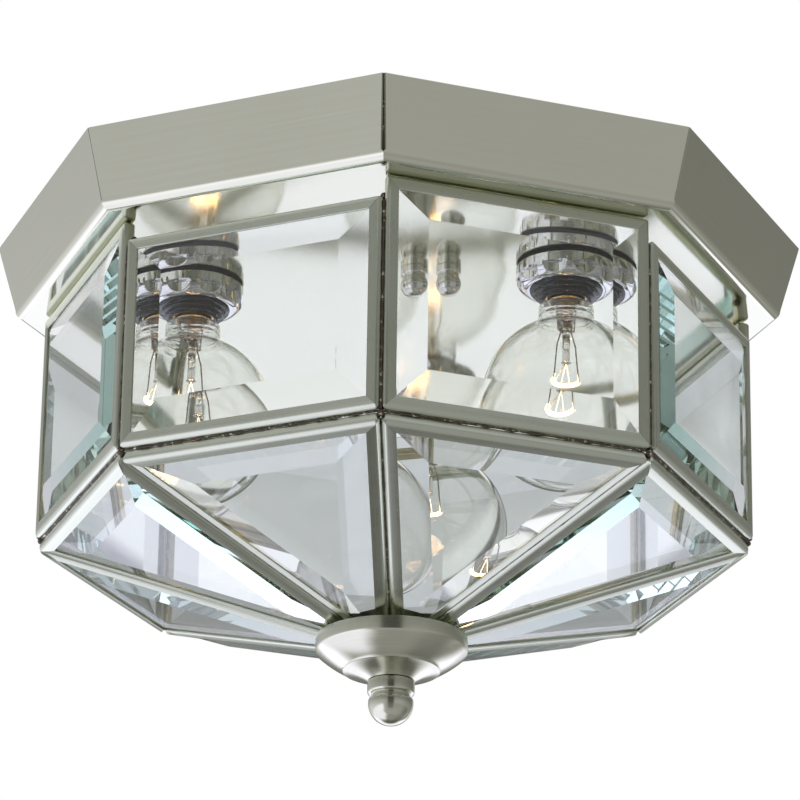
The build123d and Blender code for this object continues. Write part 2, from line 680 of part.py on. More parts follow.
bottom_frame = on_slope(channel_frame(triangle_outline))
bottom_pane = on_slope(bevelled_pane(triangle_outline))
for side in range(SIDES):
    save(f"bottom_frame_{side + 1}", turned(bottom_frame, side * SIDE_STEP))
    save(f"bottom_pane_{side + 1}", turned(bottom_pane, side * SIDE_STEP))

save("solder_joints", *make_solder())
save("hub_plate", make_hub())
save("bottom_cap", make_cap())
save("finial", make_finial())
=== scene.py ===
import random
from math import atan2, cos, hypot, pi, radians, sin, sqrt, tan

import bmesh
import bpy
from mathutils import Matrix, Vector, noise
from mathutils.geometry import tessellate_polygon


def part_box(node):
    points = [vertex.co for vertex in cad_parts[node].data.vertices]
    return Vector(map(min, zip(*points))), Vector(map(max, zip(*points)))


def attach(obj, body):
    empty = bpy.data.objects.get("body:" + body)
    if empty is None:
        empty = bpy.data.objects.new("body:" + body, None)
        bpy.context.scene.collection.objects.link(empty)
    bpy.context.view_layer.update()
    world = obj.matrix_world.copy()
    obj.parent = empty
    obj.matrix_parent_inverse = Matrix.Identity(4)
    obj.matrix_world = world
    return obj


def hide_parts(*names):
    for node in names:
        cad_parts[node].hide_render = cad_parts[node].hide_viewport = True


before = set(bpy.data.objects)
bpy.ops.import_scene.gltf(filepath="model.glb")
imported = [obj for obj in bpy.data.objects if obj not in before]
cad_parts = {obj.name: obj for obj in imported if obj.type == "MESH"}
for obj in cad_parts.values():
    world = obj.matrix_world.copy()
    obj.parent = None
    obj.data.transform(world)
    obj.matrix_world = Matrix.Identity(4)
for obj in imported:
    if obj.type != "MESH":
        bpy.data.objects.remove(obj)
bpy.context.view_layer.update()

# Mounting strap and its studs
# A crossed strap of zinc plated steel, punched for two sizes of ceiling box, screws to the box.
# Two threaded studs are pressed through it, each with a collar below, and the pan hangs on them.
MM = 0.001
UP = Vector((0, 0, 1))
strap_low, strap_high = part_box("mounting_strap")
STRAP_WIDTH = 17 * MM
STRAP_INNER_CORNER = 2.5 * MM
STRAP_OUTER_CORNER = 4 * MM
STRAP_EDGE_BREAK = 0.2 * MM
WELD = 0.002 * MM
THREAD_ROWS = 8
BOX_HOLE = 2.5 * MM
BOX_HOLE_SPACINGS = (88.9 * MM, 69.85 * MM)
WIRE_HOLE = 6.5 * MM
STUD_RADIUS = 2.085 * MM
STUD_REACH = 44.45 * MM
STUD_PITCH = 0.79 * MM
STUD_THREAD_DEPTH = 0.28 * MM
STUD_COLLAR = 4 * MM
STUD_COLLAR_HEIGHT = 1.2 * MM
STUD_CHAMFER = 0.3 * MM
ZINC_DARK = (0.42, 0.42, 0.40, 1)
ZINC_LIGHT = (0.62, 0.62, 0.59, 1)


def circle(x, y, radius, count):
    """The points of a punched round hole."""
    turns = [2 * pi * step / count for step in range(count)]
    return [(x + radius * cos(turn), y + radius * sin(turn)) for turn in turns]


def eased(corners, steps=6):
    """A closed outline whose (x, y, rounding) corners are eased by true arcs."""
    points = []
    for index, (x, y, rounding) in enumerate(corners):
        corner = Vector((x, y))
        if not rounding:
            points.append((x, y))
            continue
        before = (Vector(corners[index - 1][:2]) - corner).normalized()
        after = (Vector(corners[(index + 1) % len(corners)][:2]) - corner).normalized()
        half = before.angle(after) / 2
        centre = corner + (before + after).normalized() * rounding / sin(half)
        spoke = corner + before * rounding / tan(half) - centre
        turn = pi - 2 * half
        if before.cross(after) > 0:
            turn = -turn
        for step in range(steps + 1):
            points.append(tuple(centre + Matrix.Rotation(turn * step / steps, 2) @ spoke))
    return points


def add_face(piece, corners, along, across):
    """Adds a face to a piece and lays the grain along it, measured in metres."""
    face = piece.faces.new([piece.verts.new(corner) for corner in corners])
    grain = piece.loops.layers.uv.verify()
    for loop in face.loops:
        loop[grain].uv = (loop.vert.co.dot(along), loop.vert.co.dot(across))


def holed_face(piece, outline, holes, z):
    """Adds a level sheet face with round holes, its grain along X."""
    loops = [[Vector((x, y, z)) for x, y in loop] for loop in (outline, *holes)]
    points = [point for loop in loops for point in loop]
    for triangle in tessellate_polygon(loops):
        add_face(piece, [points[index] for index in triangle], Vector((1, 0, 0)), Vector((0, 1, 0)))


def sheet_edge(piece, loop, low, high):
    """Adds the cut edge of a sheet along a loop of points."""
    for (x, y), (next_x, next_y) in zip(loop, loop[1:] + loop[:1]):
        run = Vector((next_x - x, next_y - y, 0)).normalized()
        add_face(piece, [(x, y, low), (next_x, next_y, low), (next_x, next_y, high), (x, y, high)], run, UP)


def finished_piece(name, piece, finish, body, nodes, crease=32, place=(0, 0, 0)):
    """Welds a piece, shades it smooth between its real edges, and fits it to its body for its CAD nodes."""
    bmesh.ops.remove_doubles(piece, verts=piece.verts, dist=WELD)
    bmesh.ops.dissolve_degenerate(piece, edges=piece.edges, dist=WELD)
    bmesh.ops.recalc_face_normals(piece, faces=piece.faces)
    mesh = bpy.data.meshes.new(name)
    piece.to_mesh(mesh)
    piece.free()
    mesh.shade_smooth()
    mesh.set_sharp_from_angle(angle=radians(crease))
    mesh.materials.append(finish)
    fitted = bpy.data.objects.new(name, mesh)
    fitted.location = place
    bpy.context.scene.collection.objects.link(fitted)
    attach(fitted, body)
    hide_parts(*nodes)
    return fitted


def join_rings(piece, rings):
    """Skins a piece over rings of points, each joined to the next."""
    for ring, after in zip(rings, rings[1:]):
        for point in range(len(ring)):
            turn = (point + 1) % len(ring)
            piece.faces.new((ring[point], ring[turn], after[turn], after[point]))


def turned_form(outline, segments=96, shape=None):
    """Turns a (radius, height) outline about the upright axis; shape may move each turned point."""
    piece = bmesh.new()
    rings = []
    for radius, height in outline:
        ring = []
        for step in range(segments):
            angle = 2 * pi * step / segments
            r, z = shape(radius, height, angle) if shape else (radius, height)
            ring.append(piece.verts.new((r * cos(angle), r * sin(angle), z)))
        rings.append(ring)
    on_axis = outline[0][0] == 0 and outline[-1][0] == 0
    join_rings(piece, rings if on_axis else rings + rings[:1])
    return piece


def thread_cut(crest, depth, pitch, low, high):
    """A right-hand thread between two heights, as a shape for a turned form."""

    def shape(radius, height, angle):
        if radius < crest:
            return radius, height
        fade = min(1, max(0, (height - low) / pitch), max(0, (high - height) / pitch))
        flank = (height / pitch - angle / (2 * pi)) % 1
        return radius - fade * depth * abs(2 * flank - 1), height

    return shape


def threaded_outline(radius, low, high, pitch, chamfer):
    """The outline of a threaded length, with enough rows to carry its thread."""
    rows = int((high - low - 2 * chamfer) / pitch * THREAD_ROWS)
    outline = [(0, low), (radius - chamfer, low)]
    for row in range(rows + 1):
        outline.append((radius, low + chamfer + (high - low - 2 * chamfer) * row / rows))
    return outline + [(radius - chamfer, high), (0, high)]


def add_node(tree, kind, feeds=None, **settings):
    """Adds a shader node, with its own settings, and feeds its inputs from values or sockets."""
    node = tree.nodes.new(kind)
    for setting, value in settings.items():
        setattr(node, setting, value)
    for socket, feed in (feeds or {}).items():
        if isinstance(feed, bpy.types.NodeSocket):
            tree.links.new(feed, node.inputs[socket])
        else:
            node.inputs[socket].default_value = feed
    return node


def ranged(tree, value, low, high, start=0.0, end=1.0):
    """Spreads a value between start and end over low to high."""
    feeds = {"Value": value, "From Min": start, "From Max": end, "To Min": low, "To Max": high}
    return add_node(tree, "ShaderNodeMapRange", feeds).outputs["Result"]


def blended(tree, mask, dark, light):
    """A colour that goes from dark to light with a mask."""
    return add_node(tree, "ShaderNodeMix", {0: mask, 6: dark, 7: light}, data_type="RGBA").outputs[2]


def noise_of(tree, vector, scale, detail=3.0):
    """Plain noise on a vector."""
    feeds = {"Vector": vector, "Scale": scale, "Detail": detail}
    return add_node(tree, "ShaderNodeTexNoise", feeds).outputs[0]


def figured(tree, operation, first, second=0.0):
    """The result of a sum on one or two values."""
    return add_node(tree, "ShaderNodeMath", {0: first, 1: second}, operation=operation).outputs[0]


def crossed(tree, mask, low, high):
    """A value that goes from low to high with a mask."""
    return add_node(tree, "ShaderNodeMix", {0: mask, 2: low, 3: high}, data_type="FLOAT").outputs[0]


def set_relief(tree, shader, height, depth):
    """Raises a surface by a height value, up to a depth."""
    bump = add_node(tree, "ShaderNodeBump", {"Strength": 1.0, "Distance": depth, "Height": height})
    tree.links.new(bump.outputs["Normal"], shader.inputs["Normal"])


def value_group(name, inputs, output):
    """Starts a shader node group with named inputs and one varying output."""
    tree = bpy.data.node_groups.new(name, "ShaderNodeTree")
    for label, kind in inputs.items():
        tree.interface.new_socket(label, in_out="INPUT", socket_type=f"NodeSocket{kind}")
    tree.interface.new_socket(output, in_out="OUTPUT", socket_type="NodeSocketFloat")
    return tree, add_node(tree, "NodeGroupInput").outputs, add_node(tree, "NodeGroupOutput").inputs


def new_finish(name, plain):
    """A material with its plain values set on the shader itself."""
    finish = bpy.data.materials.new(name)
    finish.use_nodes = True
    shader = finish.node_tree.nodes["Principled BSDF"]
    for socket, value in plain.items():
        shader.inputs[socket].default_value = value
    return finish, finish.node_tree, shader


# Handling marks: faint cloudy patches left by fingers and polishing cloths
handling_marks, given, result = value_group("handling_marks", {"Vector": "Vector", "Patch": "Float"}, "Marks")
scale = figured(handling_marks, "DIVIDE", 1.0, given["Patch"])
cloud = noise_of(handling_marks, given["Vector"], scale, 5.0)
handling_marks.links.new(ranged(handling_marks, cloud, 0.0, 1.0, 0.32, 0.68), result["Marks"])
MARKS_SHARE = 0.35


def worked_metal(name, shades, roughness, relief, grain, patch, anisotropic=0.0, tangent=None, polish=None):
    """Bare metal whose worked grain and handling marks vary its shade, gloss and relief."""
    plain = {"Metallic": 1.0, "Anisotropic": anisotropic, "Anisotropic Rotation": 0.25}
    finish, tree, shader = new_finish(name, plain)
    coordinates = add_node(tree, "ShaderNodeTexCoord").outputs
    strokes = grain(tree, coordinates)
    feeds = {"Vector": coordinates["Object"], "Patch": patch}
    marks = add_node(tree, "ShaderNodeGroup", feeds, node_tree=handling_marks).outputs["Marks"]
    worn = crossed(tree, MARKS_SHARE, strokes, marks)
    tree.links.new(blended(tree, worn, *shades), shader.inputs["Base Color"])
    dull = ranged(tree, worn, *roughness)
    if polish:
        dull = figured(tree, "MULTIPLY", dull, polish(tree, coordinates))
    tree.links.new(dull, shader.inputs["Roughness"])
    set_relief(tree, shader, strokes, relief)
    if tangent:
        tree.links.new(add_node(tree, "ShaderNodeTangent", **tangent).outputs[0], shader.inputs["Tangent"])
    return finish


def zinc_spangle(tree, coordinates):
    """The fine crystal spangle of zinc plating."""
    feeds = {"Vector": coordinates["Object"], "Scale": 700.0}
    return add_node(tree, "ShaderNodeTexVoronoi", feeds).outputs["Color"]


zinc_plate = worked_metal(
    "zinc_plate", (ZINC_DARK, ZINC_LIGHT), roughness=(0.28, 0.46), relief=0.004 * MM, grain=zinc_spangle,
    patch=12 * MM)

half_width = STRAP_WIDTH / 2
reach = strap_high.x
inner, outer = STRAP_INNER_CORNER, STRAP_OUTER_CORNER
arm = [(half_width, half_width, inner), (reach, half_width, outer), (reach, -half_width, outer)]
corners = []
for quarter in range(4):
    spin = Matrix.Rotation(-quarter * pi / 2, 2)
    corners += [(*(spin @ Vector((x, y))), rounding) for x, y, rounding in arm]
strap_outline = eased(corners)
strap_holes = [circle(0, 0, WIRE_HOLE, 48)]
for spacing in BOX_HOLE_SPACINGS:
    strap_holes += [circle(side * spacing / 2, 0, BOX_HOLE, 32) for side in (-1, 1)]
strap_holes += [circle(0, side * STUD_REACH, STUD_RADIUS, 32) for side in (-1, 1)]
strap = bmesh.new()
for level in (strap_low.z, strap_high.z):
    holed_face(strap, strap_outline, strap_holes, level)
for loop in (strap_outline, *strap_holes):
    sheet_edge(strap, loop, strap_low.z, strap_high.z)
strap = finished_piece("strap_cross", strap, zinc_plate, "pan", ["mounting_strap"])
edge_break = strap.modifiers.new("edge_break", "BEVEL")
edge_break.width = STRAP_EDGE_BREAK
edge_break.segments = 2
edge_break.angle_limit = radians(50)

stud_low, stud_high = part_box("strap_studs")
collar_foot = strap_low.z - STUD_COLLAR_HEIGHT
collar_root = STUD_RADIUS * 0.9
stud_cut = thread_cut(STUD_RADIUS, STUD_THREAD_DEPTH, STUD_PITCH, stud_low.z, collar_foot)
stud_outline = threaded_outline(STUD_RADIUS, stud_low.z, stud_high.z, STUD_PITCH, STUD_CHAMFER)
collar_outline = eased([
    (collar_root, collar_foot, 0), (STUD_COLLAR, collar_foot, STUD_CHAMFER),
    (STUD_COLLAR, strap_low.z, 0), (collar_root, strap_low.z, 0)])
for count, side in enumerate((-1, 1), start=1):
    stud = turned_form(stud_outline, 32, stud_cut)
    collar = bpy.data.meshes.new("stud_collar")
    turned_form(collar_outline, 48).to_mesh(collar)
    stud.from_mesh(collar)
    place = (0, side * STUD_REACH, 0)
    finished_piece(f"strap_stud_{count}", stud, zinc_plate, "pan", ["strap_studs"], place=place)

# Ceiling pan
# One octagonal sheet of nickel plated steel, its eight flaps folded up round a flat plate, brushed along
# each flap. The corner seams stay open; the plate is punched for the rod, the studs and the sockets.
pan_low, pan_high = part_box("ceiling_pan")
SIDES = 8
STEP = 2 * pi / SIDES
PAN_LEAN = radians(15)
PAN_SHEET = 0.9 * MM
PAN_BEND = 3.2 * MM
SEAM_TOPS = (0.04, 0.05, 0.06, 0.10, 0.05, 0.08, 0.10, 0.28)
SEAM_FEET = (0.04, 0.05, 0.09, 0.06, 0.05, 0.12, 0.06, 0.75)
FLAP_EASE = 0.3 * MM
BEND_STEPS = 8
BEND_CREASE = 12
EASED_ROWS = 2
OPEN_ROWS = 5
MILL_POLISH = 0.6
ROD_HOLE = 3.575 * MM
STUD_HOLE = 2.485 * MM
SOCKET_HOLE = 11.6 * MM
BRUSH_STROKE = 45 * MM
BRUSH_LINE = 0.22 * MM
BROAD_STROKES = 0.23
GRAIN_SPREAD = (0.3, 0.7)
PAN_DARK = (0.65, 0.655, 0.53, 1)
PAN_LIGHT = (0.69, 0.695, 0.565, 1)
pan_rim = pan_high.x
pan_depth = -pan_low.z
lamp_places = []
for lamp in (1, 2, 3):
    low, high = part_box(f"bulb_base_{lamp}")
    lamp_places.append(((low.x + high.x) / 2, (low.y + high.y) / 2))

# Brushed grain: long fine strokes along the first direction of a face
strokes_in = {"Vector": "Vector", "Stroke": "Float", "Line": "Float"}
brushed_grain, given, result = value_group("brushed_grain", strokes_in, "Grain")
feeds = {0: given["Stroke"], 1: given["Line"], 2: given["Line"]}
pitch = add_node(brushed_grain, "ShaderNodeCombineXYZ", feeds).outputs[0]
feeds = {0: given["Vector"], 1: pitch}
laid = add_node(brushed_grain, "ShaderNodeVectorMath", feeds, operation="DIVIDE").outputs[0]
fine = noise_of(brushed_grain, laid, 1.0, 2.0)
broad = noise_of(brushed_grain, laid, BROAD_STROKES, 1.0)
both = crossed(brushed_grain, 0.4, fine, broad)
brushed_grain.links.new(ranged(brushed_grain, both, 0.0, 1.0, *GRAIN_SPREAD), result["Grain"])


def brushed(stroke, line):
    """Grain laid along the faces of a piece."""

    def grain(tree, coordinates):
        feeds = {"Vector": coordinates["UV"], "Stroke": stroke, "Line": line}
        return add_node(tree, "ShaderNodeGroup", feeds, node_tree=brushed_grain).outputs["Grain"]

    return grain


def polished_plate(tree, coordinates):
    """The plate and the bends kept their mill polish; only the flaps were brushed."""
    height = add_node(tree, "ShaderNodeSeparateXYZ", {0: coordinates["Object"]}).outputs[2]
    polish_top, brush_foot = pan_low.z + 0.6 * PAN_BEND, pan_low.z + 1.2 * PAN_BEND
    return ranged(tree, height, MILL_POLISH, 1.0, polish_top, brush_foot)


along_grain = {"direction_type": "UV_MAP"}
pan_nickel = worked_metal(
    "pan_nickel", (PAN_DARK, PAN_LIGHT), roughness=(0.14, 0.19), relief=0.0002 * MM,
    grain=brushed(BRUSH_STROKE, BRUSH_LINE), patch=40 * MM, anisotropic=0.7, tangent=along_grain,
    polish=polished_plate)


def flap_path(inset):
    """(apothem, height) points down a flap and round its bend, on a face drawn in by an inset."""
    bend = PAN_BEND - inset
    rim = pan_rim - inset / cos(PAN_LEAN)
    foot = -pan_depth + inset
    tangent = bend * tan((pi / 2 - PAN_LEAN) / 2)
    plate_edge = rim + foot * tan(PAN_LEAN) - tangent
    points = [(rim, -FLAP_EASE)]
    for step in range(BEND_STEPS + 1):
        angle = -PAN_LEAN - (pi / 2 - PAN_LEAN) * step / BEND_STEPS
        points.append((plate_edge + bend * cos(angle), foot + bend + bend * sin(angle)))
    slope_end = Vector(points[1])
    points.insert(1, tuple(Vector(points[0]).lerp(slope_end, 0.5)))
    points.insert(2, tuple(Vector(points[0]).lerp(slope_end, 0.97)))
    ease = -FLAP_EASE if inset else FLAP_EASE
    return [(rim - ease, 0), (rim - ease * 0.3, -FLAP_EASE * 0.3)] + points


def flap_row(apothem, height, bearing, gaps, ease):
    """Points of a level line across a flap, short of the corners by the seam gaps and eased at its ends."""
    outward = Vector((sin(bearing), -cos(bearing), 0))
    along = Vector((cos(bearing), sin(bearing), 0))
    half = apothem * tan(STEP / 2)
    points = []
    for side, gap in ((-1, gaps[0]), (1, gaps[1])):
        end = [(0, 1), (0.3, 0.3), (1, 0)]
        for run, drop in end if side < 0 else end[::-1]:
            reach = half - gap - run * abs(ease)
            points.append(outward * (apothem - drop * ease) + UP * height + along * side * reach)
    return points


pan = bmesh.new()
outer_path, inner_path = flap_path(0), flap_path(PAN_SHEET)
for side in range(SIDES):
    bearing = side * STEP
    along = Vector((cos(bearing), sin(bearing), 0))
    across = UP - Vector((sin(bearing), -cos(bearing), 0))
    rows = []
    for row, (outer_point, inner_point) in enumerate(zip(outer_path, inner_path)):
        share = max(0, row - EASED_ROWS) / (OPEN_ROWS - EASED_ROWS)
        seams = [SEAM_TOPS[end] + (SEAM_FEET[end] - SEAM_TOPS[end]) * share for end in (side - 1, side)]
        open_row = row < OPEN_ROWS
        gaps = [seam * MM if open_row else 0 for seam in seams]
        ease = FLAP_EASE if open_row else 0
        outer_row = flap_row(*outer_point, bearing, gaps, ease)
        inner_row = flap_row(*inner_point, bearing, gaps, -ease)
        rows.append((outer_row, inner_row))
    spans = [(point, point + 1) for point in range(len(rows[0][0]) - 1)]
    for start, end in spans:
        add_face(pan, [rows[0][0][start], rows[0][0][end], rows[0][1][end], rows[0][1][start]], along, across)
    for row, (upper, lower) in enumerate(zip(rows, rows[1:])):
        for face in (0, 1):
            for start, end in spans:
                quad = [upper[face][start], upper[face][end], lower[face][end], lower[face][start]]
                add_face(pan, quad, along, across)
        if row < OPEN_ROWS:
            for end in (0, -1):
                add_face(pan, [upper[0][end], upper[1][end], lower[1][end], lower[0][end]], along, across)
plate_holes = [circle(0, 0, ROD_HOLE, 32)]
plate_holes += [circle(0, side * STUD_REACH, STUD_HOLE, 32) for side in (-1, 1)]
plate_holes += [circle(x, y, SOCKET_HOLE, 64) for x, y in lamp_places]
for path in (outer_path, inner_path):
    apothem, level = path[-1]
    corner = apothem / cos(STEP / 2)
    turns = [(side + 0.5) * STEP for side in range(SIDES)]
    plate_edge = [(corner * sin(turn), -corner * cos(turn)) for turn in turns]
    holed_face(pan, plate_edge, plate_holes, level)
for hole in plate_holes:
    sheet_edge(pan, hole, outer_path[-1][1], inner_path[-1][1])
finished_piece("folded_pan", pan, pan_nickel, "pan", ["ceiling_pan"], crease=BEND_CREASE)

# Lamp sockets
# A black moulded phenolic holder stands through each socket hole, with a ridged nose. A polished ring with
# finger grips screws up its barrel against a rubber gasket, and a brass shell lines its bore.
ring_low, ring_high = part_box("socket_rings")
body_low, body_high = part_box("socket_body_1")
gasket_low, gasket_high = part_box("socket_gaskets")
BARREL = 11.4 * MM
HOUSING = 10 * MM
FLANGE = 14.5 * MM
FLANGE_HEIGHT = 2.5 * MM
BORE = 6.75 * MM
BORE_TOP = -16 * MM
NOSE_RIDGES = 3
NOSE_TIP = 7.75 * MM
RIDGE_FACE = (0.1, 0.62)
RIDGE_UNDERCUT = 0.86
RIDGE_OVERHANG = 1.15
RING_RADIUS = 15.75 * MM
RING_SHOULDER = 3.8 * MM
RING_SHEET = 1.3 * MM
RING_LIP = 11.45 * MM
GRIPS = 10
GRIP_ORBIT = 20 * MM
GRIP_RADIUS = 6.05 * MM
GRIP_HEIGHT = 4.1 * MM
GASKET_BULGE = 0.3 * MM
GASKET_INSET = 0.35 * MM
PHENOLIC_DARK = (0.008, 0.008, 0.011, 1)
PHENOLIC_LIGHT = (0.018, 0.019, 0.023, 1)
RUBBER_DARK = (0.014, 0.014, 0.014, 1)
RUBBER_LIGHT = (0.035, 0.034, 0.033, 1)
RING_DARK = (0.62, 0.615, 0.60, 1)
RING_LIGHT = (0.72, 0.715, 0.70, 1)
BRASS_DARK = (0.62, 0.44, 0.20, 1)
BRASS_LIGHT = (0.80, 0.62, 0.32, 1)
plate_top = inner_path[-1][1]


def moulded(name, shades, roughness, relief, index, scale, detail):
    """A moulded finish whose fine speckle varies its shade, gloss and relief."""
    finish, tree, shader = new_finish(name, {"IOR": index})
    coordinates = add_node(tree, "ShaderNodeTexCoord").outputs
    speckle = noise_of(tree, coordinates["Object"], scale, detail)
    tree.links.new(blended(tree, speckle, *shades), shader.inputs["Base Color"])
    tree.links.new(ranged(tree, speckle, *roughness), shader.inputs["Roughness"])
    set_relief(tree, shader, speckle, relief)
    return finish


phenolic = moulded(
    "black_phenolic", (PHENOLIC_DARK, PHENOLIC_LIGHT), roughness=(0.10, 0.22), relief=0.01 * MM,
    index=1.55, scale=420.0, detail=4.0)
gasket_rubber = moulded(
    "gasket_rubber", (RUBBER_DARK, RUBBER_LIGHT), roughness=(0.6, 0.85), relief=0.03 * MM,
    index=1.5, scale=900.0, detail=3.0)

# Turned grain: fine rings about the upright axis of a turned or spun piece
turned_grain, given, result = value_group("turned_grain", {"Vector": "Vector", "Line": "Float"}, "Grain")
parts = add_node(turned_grain, "ShaderNodeSeparateXYZ", {0: given["Vector"]}).outputs
level = add_node(turned_grain, "ShaderNodeCombineXYZ", {0: parts[0], 1: parts[1]}).outputs[0]
radius = add_node(turned_grain, "ShaderNodeVectorMath", {0: level}, operation="LENGTH").outputs["Value"]
bearing = figured(turned_grain, "ARCTAN2", parts[1], parts[0])
radius_lines = figured(turned_grain, "DIVIDE", radius, given["Line"])
height_lines = figured(turned_grain, "DIVIDE", parts[2], given["Line"])
feeds = {0: radius_lines, 1: height_lines, 2: bearing}
rings = add_node(turned_grain, "ShaderNodeCombineXYZ", feeds).outputs[0]
tool_marks = noise_of(turned_grain, rings, 1.0, 2.0)
turned_grain.links.new(ranged(turned_grain, tool_marks, 0.0, 1.0, *GRAIN_SPREAD), result["Grain"])


def turned(line):
    """Grain in fine rings about the axis of a piece."""

    def grain(tree, coordinates):
        feeds = {"Vector": coordinates["Object"], "Line": line}
        return add_node(tree, "ShaderNodeGroup", feeds, node_tree=turned_grain).outputs["Grain"]

    return grain


round_grain = {"direction_type": "RADIAL", "axis": "Z"}
polished_ring = worked_metal(
    "polished_ring", (RING_DARK, RING_LIGHT), roughness=(0.03, 0.07), relief=0.0002 * MM,
    grain=turned(0.3 * MM), patch=9 * MM)
rolled_brass = worked_metal(
    "rolled_brass", (BRASS_DARK, BRASS_LIGHT), roughness=(0.16, 0.3), relief=0.0008 * MM,
    grain=turned(0.25 * MM), patch=5 * MM)

tread = (BARREL - NOSE_TIP) / NOSE_RIDGES
rise = (ring_low.z - body_low.z) / NOSE_RIDGES
holder_corners = [
    (0, body_high.z, 0), (HOUSING, body_high.z, 0.8 * MM), (HOUSING, plate_top + FLANGE_HEIGHT, 0.3 * MM),
    (FLANGE, plate_top + FLANGE_HEIGHT, 0.4 * MM), (FLANGE, plate_top, 0.2 * MM), (BARREL, plate_top, 0)]
for ridge in range(NOSE_RIDGES):
    radius = BARREL - ridge * tread
    top = ring_low.z - ridge * rise
    holder_corners += [
        (radius, top - rise * RIDGE_FACE[0], 0), (radius, top - rise * RIDGE_FACE[1], 0.4 * MM),
        (radius - tread * RIDGE_OVERHANG, top - rise * RIDGE_UNDERCUT, 0.2 * MM)]
holder_corners += [
    (NOSE_TIP, body_low.z, 0.2 * MM), (BORE, body_low.z, 0.15 * MM), (BORE, BORE_TOP, 0), (0, BORE_TOP, 0)]

ring_inside = RING_RADIUS - RING_SHEET
ring_wall_foot = ring_low.z + RING_SHOULDER
grip_top = ring_low.z + GRIP_HEIGHT
ring_outline = eased([
    (RING_RADIUS, ring_high.z, 0.3 * MM), (RING_RADIUS, grip_top + 0.15 * MM, 0), (RING_RADIUS, grip_top, 0),
    (RING_RADIUS, ring_low.z, RING_SHOULDER), (RING_LIP, ring_low.z, 0.1 * MM), (RING_LIP, ring_wall_foot, 0),
    (ring_inside, ring_wall_foot, 0), (ring_inside, ring_high.z, 0.3 * MM)], steps=28)


def gripped(radius, height, angle):
    """Presses the flat-topped finger grips into the shoulder of the ring."""
    step = 2 * pi / GRIPS
    swing = (angle + pi / 2 + step / 2) % step - step / 2
    inside_grip = GRIP_RADIUS**2 - (GRIP_ORBIT * sin(swing)) ** 2
    if height > grip_top or radius <= RING_LIP or inside_grip <= 0:
        return radius, height
    return min(radius, GRIP_ORBIT * cos(swing) - sqrt(inside_grip)), height


gasket_outer = RING_RADIUS - GASKET_INSET
gasket_outline = eased([
    (SOCKET_HOLE, gasket_low.z, 0.1 * MM), (gasket_outer, gasket_low.z, GASKET_BULGE),
    (gasket_outer, gasket_high.z, GASKET_BULGE), (SOCKET_HOLE, gasket_high.z, 0.1 * MM)])
for lamp, (x, y) in enumerate(lamp_places, start=1):
    spot = (x, y, 0)
    holder = turned_form(eased(holder_corners, 4), 96)
    nodes = [f"socket_body_{lamp}"]
    finished_piece(f"lampholder_{lamp}", holder, phenolic, "pan", nodes, place=spot)
    ring = turned_form(ring_outline, 240, gripped)
    nodes = ["socket_rings"]
    finished_piece(f"gripped_ring_{lamp}", ring, polished_ring, "pan", nodes, place=spot)
    gasket = turned_form(gasket_outline, 96)
    nodes = ["socket_gaskets"]
    finished_piece(f"ring_gasket_{lamp}", gasket, gasket_rubber, "pan", nodes, place=spot)
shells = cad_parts["socket_contacts"]
shells.data.materials.clear()
shells.data.materials.append(rolled_brass)

# Globe lamps
# Clear blown glass globes on small brass screw bases. A glass stem in the neck carries two nickel leads,
# and the glowing tungsten coil hangs in an arc between their hooked ends.
base_low, base_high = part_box("bulb_base_1")
glass_low, glass_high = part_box("bulb_glass_1")
contact_low, contact_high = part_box("bulb_contact_1")
GLOBE_RADIUS = (glass_high.x - glass_low.x) / 2
GLASS_WALL = 0.7 * MM
GLASS_PATCH = 25 * MM
GLASS_HAZE = 0.02
NECK_RADIUS = 8.6 * MM
NECK_BLEND = 2.5 * MM
BLEND_STEPS = 8
NECK_TAPER = 1.6 * MM
NECK_RIPPLE = 0.10 * MM
NECK_RIPPLE_PITCH = 1.9 * MM
NECK_EASE = 0.35 * MM
NECK_ROWS = 28
SPIGOT = 5.15 * MM
BASE_RADIUS = 5.9 * MM
BASE_SHEET = 0.6 * MM
BASE_PITCH = 2.54 * MM
BASE_THREAD_DEPTH = 0.4 * MM
BASE_TURNS = 4
BASE_TURN_ROWS = 12
BUTTON_RADIUS = 2.5 * MM
BUTTON_BAND = (0.62, 0.7)
STEM_RADIUS = 3.2 * MM
STEM_FLARE = 4.2 * MM
STEM_LENGTH = 9 * MM
STEM_WALL = 0.5 * MM
STEM_ROWS = 14
PINCH_WIDTH = 3.0 * MM
PINCH_THICKNESS = 1.1 * MM
POST_LENGTH = 11.5 * MM
POST_RADIUS = 1.2 * MM
LEAD_RADIUS = 0.24 * MM
LEAD_KNEE = 3.1 * MM
LEAD_SPREAD = 4.2 * MM
LEAD_LENGTH = 17 * MM
SUPPORT_RADIUS = 0.12 * MM
COIL_RADIUS = 0.55 * MM
COIL_WIRE = 0.13 * MM
COIL_TURNS = 30
COIL_STEPS = COIL_TURNS * 10
GLOW_RED = (1.0, 0.36, 0.07, 1)
GLOW_WHITE = (1.0, 0.66, 0.30, 1)
TUNGSTEN_DARK = (0.30, 0.26, 0.22, 1)
TUNGSTEN_LIGHT = (0.5, 0.45, 0.38, 1)
LEAD_DARK = (0.40, 0.38, 0.34, 1)
LEAD_LIGHT = (0.60, 0.57, 0.51, 1)
INSULATOR_DARK = (0.012, 0.012, 0.014, 1)
INSULATOR_LIGHT = (0.05, 0.045, 0.045, 1)
BUTTON_METAL = (0.50, 0.49, 0.46, 1)
globe_z = glass_low.z + GLOBE_RADIUS
neck_top = base_low.z
spigot_top = glass_high.z


